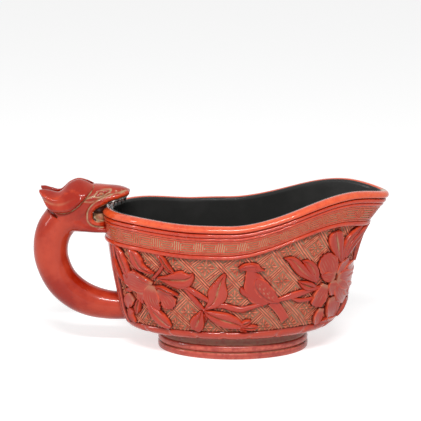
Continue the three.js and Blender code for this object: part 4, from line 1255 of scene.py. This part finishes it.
# Middles and halves of balls grown into the head: the tongue, the back of the mouth, and on each side
# a nostril and a brow
HEAD_BALLS = [((-67.2, 0, 67.6), (3.6, 4.8, 2.2)), ((-67.6, 0, 72.4), (4.2, 5.2, 3.6))]
HEAD_BALLS += [((x, side * y, z), half) for side, _ in SIDES for x, y, z, half in (
    (-56.2, 1.9, 81.2, (2.5, 1.7, 1.7)), (-65.6, 5.7, 81.7, (4.6, 1.5, 1.2)))]
CHEEK_HALF = 7.4
SMOOTHINGS = 6
# The handle's root, which ends behind the wall's face and follows its bend, and how far behind
ROOT_TOP, ROOT_FROM, ROOT_BEND, ROOT_OUT = 32, -64, 0.0286, -0.8


def oval_rows(route, rise, width, count, around=40):
    """Ovals swept along a route in the plane y = 0."""
    t = np.linspace(0, 1, count)
    centre = smooth_path(route, t)
    way = smooth_path(route, np.minimum(t + 0.004, 1)) - smooth_path(route, np.maximum(t - 0.004, 0))
    way /= np.linalg.norm(way, axis=1, keepdims=True)
    up = smooth_path(rise, t)[:, None] * np.sin(round_turns(around))
    across = smooth_path(width, t)[:, None] * np.cos(round_turns(around))
    return np.stack([centre[:, :1] - way[:, 1:] * up, across, centre[:, 1:] + way[:, :1] * up], -1)


def pillow_rows(outline, half):
    """A plate with the given outline in side view, rounded off towards both of its sides."""
    outline = np.array(outline)
    middle = outline.mean(0)
    rows = []
    for across in np.sin(np.linspace(-math.pi / 2, math.pi / 2, 15)):
        place = middle + (outline - middle) * max(0.02, max(0, 1 - abs(across) ** 3) ** (1 / 3))
        rows.append(np.stack([place[:, 0], np.full(len(place), across * half), place[:, 1]], -1))
    return np.array(rows)


def ball_rows(middle, half, count=13, around=20):
    turns, lift = round_turns(around), math.pi * (0.01 + 0.98 * np.linspace(0, 1, count)[:, None])
    ring = np.stack(np.broadcast_arrays(np.cos(turns) * np.sin(lift), np.sin(turns) * np.sin(lift),
                                        -np.cos(lift)), -1)
    return middle + ring * half


def closed_shell(rows):
    """Points and faces of a body from rows, with its ends closed by one face each."""
    count, around = rows.shape[:2]
    points = rows.reshape(-1, 3)
    faces = [grid_faces(count, around, False, True), np.arange(around)[::-1][None, :],
             np.arange((count - 1) * around, count * around)[None, :]]
    return points, outward(points, faces, points.mean(0))


def added_up(places, values, count):
    """For each place, the sum of the rows of values that belong to it."""
    return np.stack([np.bincount(places, column, count) for column in values.T], -1)


def neighbour_mean(values, quads):
    total, count = np.zeros_like(values), np.zeros(len(values))
    for k in range(4):
        for other in (quads[:, (k + 1) % 4], quads[:, (k + 3) % 4]):
            total += added_up(quads[:, k], values[other], len(values))
            count += np.bincount(quads[:, k], minlength=len(values))
    return total / count[:, None]


def point_normals(points, quads):
    face = np.cross(points[quads[:, 2]] - points[quads[:, 0]], points[quads[:, 3]] - points[quads[:, 1]])
    total = sum(added_up(quads[:, k], face, len(points)) for k in range(4))
    return total / np.linalg.norm(total, axis=1, keepdims=True)


def grown_together(shells, voxel):
    """One even skin of quads round several bodies that overlap, smoothed where they meet."""
    points, faces = join_shapes(shells)
    obj = new_object("skin", points * MM, faces)
    modifier = obj.modifiers.new("Remesh", "REMESH")
    modifier.mode, modifier.voxel_size = "VOXEL", voxel
    points, (quads,) = evaluated(obj)
    points = points / MM
    for _ in range(SMOOTHINGS):
        points = neighbour_mean(points, quads) * 0.7 + points * 0.3
    return points, quads


def line_distance(points, line):
    """How far each point is, in side view, from a smooth line, and how far along it the nearest place is."""
    line = smooth_path(line, np.linspace(0, 1, 6 * len(line)))
    flat = points[:, [0, 2]]
    best, along = np.full(len(points), 1e9), np.zeros(len(points))
    for k in range(len(line) - 1):
        start, way = line[k], line[k + 1] - line[k]
        u = np.clip(((flat - start) @ way) / (way @ way), 0, 1)
        far = np.hypot(*(flat - start - u[:, None] * way).T)
        closer = far < best
        best[closer], along[closer] = far[closer], ((k + u) / (len(line) - 1))[closer]
    return best, along


class EWER_OT_handle(bpy.types.Operator):
    """Make the handle and the dragon's head, carved from one piece"""
    bl_idname = "ewer.handle"
    bl_label = "Handle and Head"

    def execute(self, context):
        shells = [closed_shell(rows) for rows in (
            oval_rows(HANDLE_ROUTE, HANDLE_RISE, HANDLE_WIDTH, 90),
            oval_rows(SKULL_ROUTE, SKULL_RISE, SKULL_WIDTH, 50),
            oval_rows(THROAT_ROUTE, THROAT_RISE, THROAT_WIDTH, 36), pillow_rows(CHEEK, CHEEK_HALF),
            *(ball_rows(*ball) for ball in HEAD_BALLS))]
        points, quads = grown_together(shells, context.scene.ewer_carving.head_fineness)
        normals = point_normals(points, quads)
        facing = np.abs(normals[:, 1])
        lift, dust, edge = np.zeros((3, len(points)))
        # The cuts and the rolled lip lie on the sides of the head
        head = np.flatnonzero(points[:, 2] + 0.55 * (points[:, 0] + 74) > 58)
        here, off = points[head], np.abs(points[head, 1])
        sideways = ease(1.4, 3.2, off) * ease(0.1, 0.35, facing[head])
        for line, width, depth, dusty in CUTS:
            far, along = line_distance(here, line)
            faded = np.clip(8 * np.minimum(along, 1 - along) + 0.35, 0, 1)
            lift[head] -= depth * bump(far, 0, width) * sideways * faded
            dust[head] = np.maximum(dust[head], 0.75 * dusty * bump(far, 0, 0.8 * width, 4) * sideways)
        # The rolled lip is raised, and lightened by rubbing and a painted highlight along it
        roll = bump(line_distance(here, LIP_LINE)[0], 0, 0.95, 4) * ease(1.0, 2.6, off)
        lift[head] += 0.55 * roll
        edge[head] = 0.8 * roll
        inner = bump(line_distance(here, MOUTH_EDGE)[0], 0, 0.4) * sideways
        dust[head] = np.maximum(dust[head], 0.9 * inner)
        points = points + normals * lift[:, None]
        face = wall_point(math.pi, np.linspace(0, 0.5, 60), ROOT_OUT)
        root = (points[:, 2] < ROOT_TOP) & (points[:, 0] > ROOT_FROM)
        limit = np.interp(points[root, 2], face[:, 2], face[:, 0]) + ROOT_BEND * points[root, 1] ** 2
        points[root, 0] = np.minimum(points[root, 0], limit)
        # Painted shade darkens the open mouth on its back and on its cheeks, above the dusty tongue
        x, off, z = points[:, 0], np.abs(points[:, 1]), points[:, 2]
        mouth = (x > -70.6) & (z > 66.1) & (z < 74.6 + 0.42 * (x + 64.4))
        dark = np.maximum(ease(6.4, 5.6, off) * ease(69.2, 70.2, z), ease(0.75, 0.35, facing) * (x < -68.8))
        tongue = mouth & (off < 5.2) & (x > -69.4) & (z < 69.8)
        masks = {"dust": np.maximum(dust, 0.45 * tongue), "edge": edge, "dark": dark * mouth}
        obj = add_mesh("handle_and_head", points, [quads], materials()["handle"], masks)
        set_piece(obj, "red_lacquer", "handle_loop", "dragon_head")
        return {"FINISHED"}


# Ear: stations from its root behind the eye to its tip. It folds over the skull, so its upper edge
# lies nearer to the middle than its lower edge.
EAR_OUTLINE = [(-70.2, 84.4, 83.0), (-73.5, 86.1, 79.2), (-77.8, 87.0, 74.9), (-82.2, 85.3, 72),
               (-87, 81.2, 71.6), (-91.5, 81.8, 72.4), (-94.6, 82.5, 76.5), (-97, 82.4, 81.2)]
EAR_THICKNESS = [1.4, 4.2, 5.4, 5.6, 5.2, 4.4, 3.2, 1.2]
EAR_TOP_Y = [2.4, 1.7, 1.6, 1.9, 3.2, 3.6, 4.3, 4.6]
EAR_BOTTOM_Y = [5.2, 9.2, 9.8, 9.8, 9.4, 8.6, 6.6, 5]
EAR_BULGE = [0.4, 1.4, 1.8, 1.8, 1.6, 1.2, 0.8, 0.2]
EAR_FOLD = [(-97, 81.6), (-93.6, 79.4), (-90.4, 78.4), (-87, 79.2), (-83.4, 81.4), (-80, 82.6), (-77.2, 81.4)]
EAR_HOLLOW = [(-95.2, 78.2), (-92, 76.6), (-88.4, 75.8), (-84.6, 76.4), (-81, 78), (-78, 79.4)]
EAR_ROLL = [(-94, 75.8), (-91, 74), (-87.2, 73.4), (-83, 73.8), (-79.4, 75.6), (-76.4, 78.2)]
# Steps along the ear and round it
EAR_FINENESS = (130, 84)
EYE_HALF = (1.9, 1.7, 1.2)
EYE_MIDDLE = (-66.0, 6.6, 80.9)


class EWER_OT_ears(bpy.types.Operator):
    """Make the dragon's ears"""
    bl_idname = "ewer.ears"
    bl_label = "Ears"

    def execute(self, context):
        count, turns = EAR_FINENESS[0], round_turns(EAR_FINENESS[1])
        t = np.linspace(0, 1, count)
        x, top, bottom = smooth_path(EAR_OUTLINE, t).T[..., None]
        thick, bulge, top_y, bottom_y = (smooth_path(sizes, t)[:, None] for sizes in (
            EAR_THICKNESS, EAR_BULGE, EAR_TOP_Y, EAR_BOTTOM_Y))
        up, out = (np.sign(wave) * np.abs(wave) ** power
                   for wave, power in ((np.sin(turns), 0.9), (np.cos(turns), 0.75)))
        y = bottom_y + (top_y - bottom_y) * (1 + up) / 2 + bulge * (1 - up ** 2) + thick / 2 * out
        z = (top + bottom) / 2 + (top - bottom) / 2 * up
        rows = np.stack(np.broadcast_arrays(x, y, z), -1)
        points, low = rows.reshape(-1, 3), np.tile(up, count)
        outer = np.tile(np.clip(out, 0, 1) ** 0.5, count)
        (fold, fold_t), (hollow, hollow_t), (roll, _) = (
            line_distance(points, line) for line in (EAR_FOLD, EAR_HOLLOW, EAR_ROLL))
        lift = 0.8 * bump(fold, 0, 1.5) * (1 - 0.4 * fold_t) + 0.6 * bump(roll, 0, 1.2)
        lift -= 1.2 * bump(hollow, 0, 1.3) * (1 - 0.9 * hollow_t)
        rows[..., 1] += (lift * outer).reshape(y.shape)
        # Dust under the ear and in its hollow; rubbing and a painted highlight lighten the ridge of its fold
        dust = np.clip(-0.6 - low, 0, 1) * np.clip(1 - outer * 1.6, 0, 1) * 1.2
        masks = {"dust": np.maximum(dust, 0.3 * bump(hollow, 0, 0.5) * (1 - hollow_t) * outer),
                 "edge": 0.6 * bump(fold, 0, 0.6) * outer}
        for side, name in SIDES:
            obj = tube_mesh(f"folded_ear_{name}", rows * [1, side, 1], materials()["handle"], masks)
            set_piece(obj, "red_lacquer", f"ear_{name}")
        return {"FINISHED"}


class EWER_OT_eyes(bpy.types.Operator):
    """Make the dragon's eyes, each a ball with a ring cut round its pupil"""
    bl_idname = "ewer.eyes"
    bl_label = "Eyes"

    def execute(self, context):
        ball = ball_rows((0, 0, 0), (1, 1, 1), 33, 40)
        # How far each point is from the pupil's middle, in side view
        far, outer = np.hypot(ball[..., 0] - 0.1, ball[..., 2]).ravel(), ball[..., 1].ravel() > 0
        # Dust in the ring round the pupil; rubbing and a painted highlight lighten the pupil on the outer
        # side
        masks = {"dust": 0.8 * bump(far, 0.46, 0.12), "edge": 0.6 * bump(far, 0, 0.34, 4) * outer}
        ball.reshape(-1, 3)[:, 1] -= 0.16 * bump(far, 0.46, 0.1) * outer
        for side, name in SIDES:
            rows = (ball * EYE_HALF + EYE_MIDDLE) * (1, side, 1)
            obj = tube_mesh(f"round_eye_{name}", rows, materials()["handle"], masks)
            set_piece(obj, "bright_lacquer", f"eye_{name}")
        return {"FINISHED"}


# Teeth

TEETH = 11
TOOTH_RADIUS = 0.85
GUM_RADIUS = 0.7
# Each row's gum line from the back of the jaw to its middle, the teeth's length, and how they are turned
TOOTH_ROWS = (
    ("upper", [(-62, 5.2, 75.9), (-58.4, 4.6, 76.9), (-55.4, 3.2, 77.7), (-54.2, 0, 77.9)], 3.1, math.pi),
    ("lower", [(-67.6, 5.2, 64.9), (-70.2, 4.8, 65.5), (-72, 3.2, 66.6), (-72.7, 0, 67)], 2.2, 0.0))


def teeth_tree():
    """Node tree that sets teeth along a gum, which is given as a chain of edges."""
    tree, given, made = new_group("Teeth on a Gum", "GeometryNodeTree", [
        ("Gum Line", "Geometry"), ("Teeth", "Int"), ("Tooth Radius", "Float"), ("Tooth Length", "Float"),
        ("Gum Radius", "Float"), ("Lean", "Vector"), ("Finish", "Material")], [("Row of Teeth", "Geometry")])
    line = node(tree, "GeometryNodeMeshToCurve", {"Mesh": given["Gum Line"]}).outputs["Curve"]
    spaced = node(tree, "GeometryNodeResampleCurve", {"Curve": line, "Count": given["Teeth"]})
    cone = node(tree, "GeometryNodeMeshCone", {
        "Vertices": 12, "Side Segments": 5, "Radius Top": 0.12, "Radius Bottom": given["Tooth Radius"],
        "Depth": given["Tooth Length"]})
    size = node(tree, "FunctionNodeRandomValue", {2: 0.8, 3: 1.1, "Seed": 7}, data_type="FLOAT")
    spread = node(tree, "GeometryNodeInstanceOnPoints", {
        "Points": spaced.outputs["Curve"], "Instance": cone.outputs["Mesh"], "Rotation": given["Lean"],
        "Scale": size.outputs[1]})
    ring = node(tree, "GeometryNodeCurvePrimitiveCircle", {"Resolution": 14, "Radius": given["Gum Radius"]})
    gum = node(tree, "GeometryNodeCurveToMesh", {
        "Curve": line, "Profile Curve": ring.outputs["Curve"], "Fill Caps": True})
    both = node(tree, "GeometryNodeJoinGeometry", {"Geometry": gum.outputs["Mesh"]})
    set_inputs(both, {"Geometry": spread.outputs["Instances"]})
    return finish_tree(tree, both.outputs["Geometry"], given, made)


class EWER_OT_teeth(bpy.types.Operator):
    """Set the teeth in the jaws"""
    bl_idname = "ewer.teeth"
    bl_label = "Teeth"

    def execute(self, context):
        tree, look = teeth_tree(), materials()["tooth"]
        for name, gum, length, lean in TOOTH_ROWS:
            half = smooth_path(gum, np.linspace(0, 1, 16))
            line = np.vstack([half, half[-2::-1] * [1, -1, 1]])
            chain = [(k, k + 1) for k in range(len(line) - 1)]
            points, faces = run_tree(
                tree, f"{name}_row", line, [], chain, Teeth=TEETH, Tooth_Radius=TOOTH_RADIUS,
                Tooth_Length=length, Gum_Radius=GUM_RADIUS, Lean=(lean, 0.0, 0.0), Finish=look)
            obj = add_mesh(f"{name}_fangs", points, faces, look, None, 50)
            set_piece(obj, "tooth_metal", f"{name}_teeth")
        return {"FINISHED"}


# Stage

CAMERA_AIM = Vector((-0.01145, 0.0, 0.07052))
CAMERA_DISTANCE = 0.9
CAMERA_ELEVATION = math.radians(13.5)
CAMERA_LENS = 152.7
CAMERA_SENSOR = 36.0
FLOOR_RADIUS = 3.0
KEY_PLACE, KEY_SIZE = (0.02, -0.64, 0.68), (0.42, 0.055)
FILL_PLACE, FILL_SIZE = (-0.72, -0.32, 0.4), (0.1, 0.4)


def aimed(name, data, place, aim):
    """A camera or a lamp at its place, turned towards its aim."""
    obj = bpy.data.objects.new(name, data)
    obj.location = place
    obj.rotation_euler = (aim - Vector(place)).to_track_quat("-Z", "Y").to_euler()
    bpy.context.scene.collection.objects.link(obj)
    return obj


class EWER_OT_stage(bpy.types.Operator):
    """Make the camera, the floor and the studio light"""
    bl_idname = "ewer.stage"
    bl_label = "Studio Stage"

    def execute(self, context):
        scene, look = context.scene, context.scene.ewer_stage
        scene.view_settings.view_transform = "Standard"
        camera = bpy.data.cameras.new("Photo View")
        camera.lens, camera.sensor_width = CAMERA_LENS, CAMERA_SENSOR
        camera.clip_start, camera.clip_end = 0.01, 30
        aim = CAMERA_AIM + Vector((FOOT_MIDDLE, 0, 0))
        back = Vector((0, -math.cos(CAMERA_ELEVATION), math.sin(CAMERA_ELEVATION)))
        scene.camera = aimed("Photo View", camera, aim + back * CAMERA_DISTANCE, aim)
        turns = round_turns(96)
        ring = FLOOR_RADIUS * np.stack([np.cos(turns), np.sin(turns), 0 * turns], -1)
        floor = new_object("floor", ring, [np.arange(len(ring))[None, :]])
        floor.data.materials.append(floor_material())
        for name, place, (wide, high), power in (("Key", KEY_PLACE, KEY_SIZE, look.key),
                                                 ("Fill", FILL_PLACE, FILL_SIZE, look.fill)):
            lamp = bpy.data.lights.new(name, "AREA")
            lamp.shape, lamp.size, lamp.size_y, lamp.energy = "RECTANGLE", wide, high, power
            aimed(name, lamp, place, aim)
        world = bpy.data.worlds.new("Studio")
        world.use_nodes = True
        tree = world.node_tree
        set_inputs(tree.nodes["Background"], {
            "Color": (1, 1, 1, 1), "Strength": sum_up(tree, "MAXIMUM", seen_plainly(tree), look.sky)})
        scene.world = world
        return {"FINISHED"}


# Add-on

OPERATORS = (EWER_OT_stage, EWER_OT_field, EWER_OT_diaper, EWER_OT_rim, EWER_OT_fret, EWER_OT_border,
             EWER_OT_strips, EWER_OT_lining, EWER_OT_foot, EWER_OT_relief, EWER_OT_handle, EWER_OT_ears,
             EWER_OT_eyes, EWER_OT_teeth, EWER_OT_carcass)


class EWER_PT_workshop(bpy.types.Panel):
    """Sizes, finishes and steps of the ewer"""
    bl_idname = "EWER_PT_workshop"
    bl_label = "Carved Lacquer Ewer"
    bl_space_type = "VIEW_3D"
    bl_region_type = "UI"
    bl_category = "Ewer"

    def draw(self, context):
        for group in (context.scene.ewer_carving, context.scene.ewer_finish, context.scene.ewer_stage):
            box = self.layout.box()
            for name in group.__annotations__:
                box.prop(group, name)
        for operator in OPERATORS:
            self.layout.operator(operator.bl_idname)


GROUPS = {"ewer_carving": EwerCarving, "ewer_finish": EwerFinish, "ewer_stage": EwerStage}


def register():
    for group in GROUPS.values():
        bpy.utils.register_class(group)
    for name, group in GROUPS.items():
        setattr(bpy.types.Scene, name, bpy.props.PointerProperty(type=group))
    for made in (*OPERATORS, EWER_PT_workshop):
        bpy.utils.register_class(made)


def unregister():
    for made in (EWER_PT_workshop, *reversed(OPERATORS)):
        bpy.utils.unregister_class(made)
    for name in GROUPS:
        delattr(bpy.types.Scene, name)
    for group in reversed(GROUPS.values()):
        bpy.utils.unregister_class(group)


def main():
    register()
    for operator in OPERATORS:
        family, name = operator.bl_idname.split(".")
        getattr(getattr(bpy.ops, family), name)()


if __name__ == "__main__":
    main()
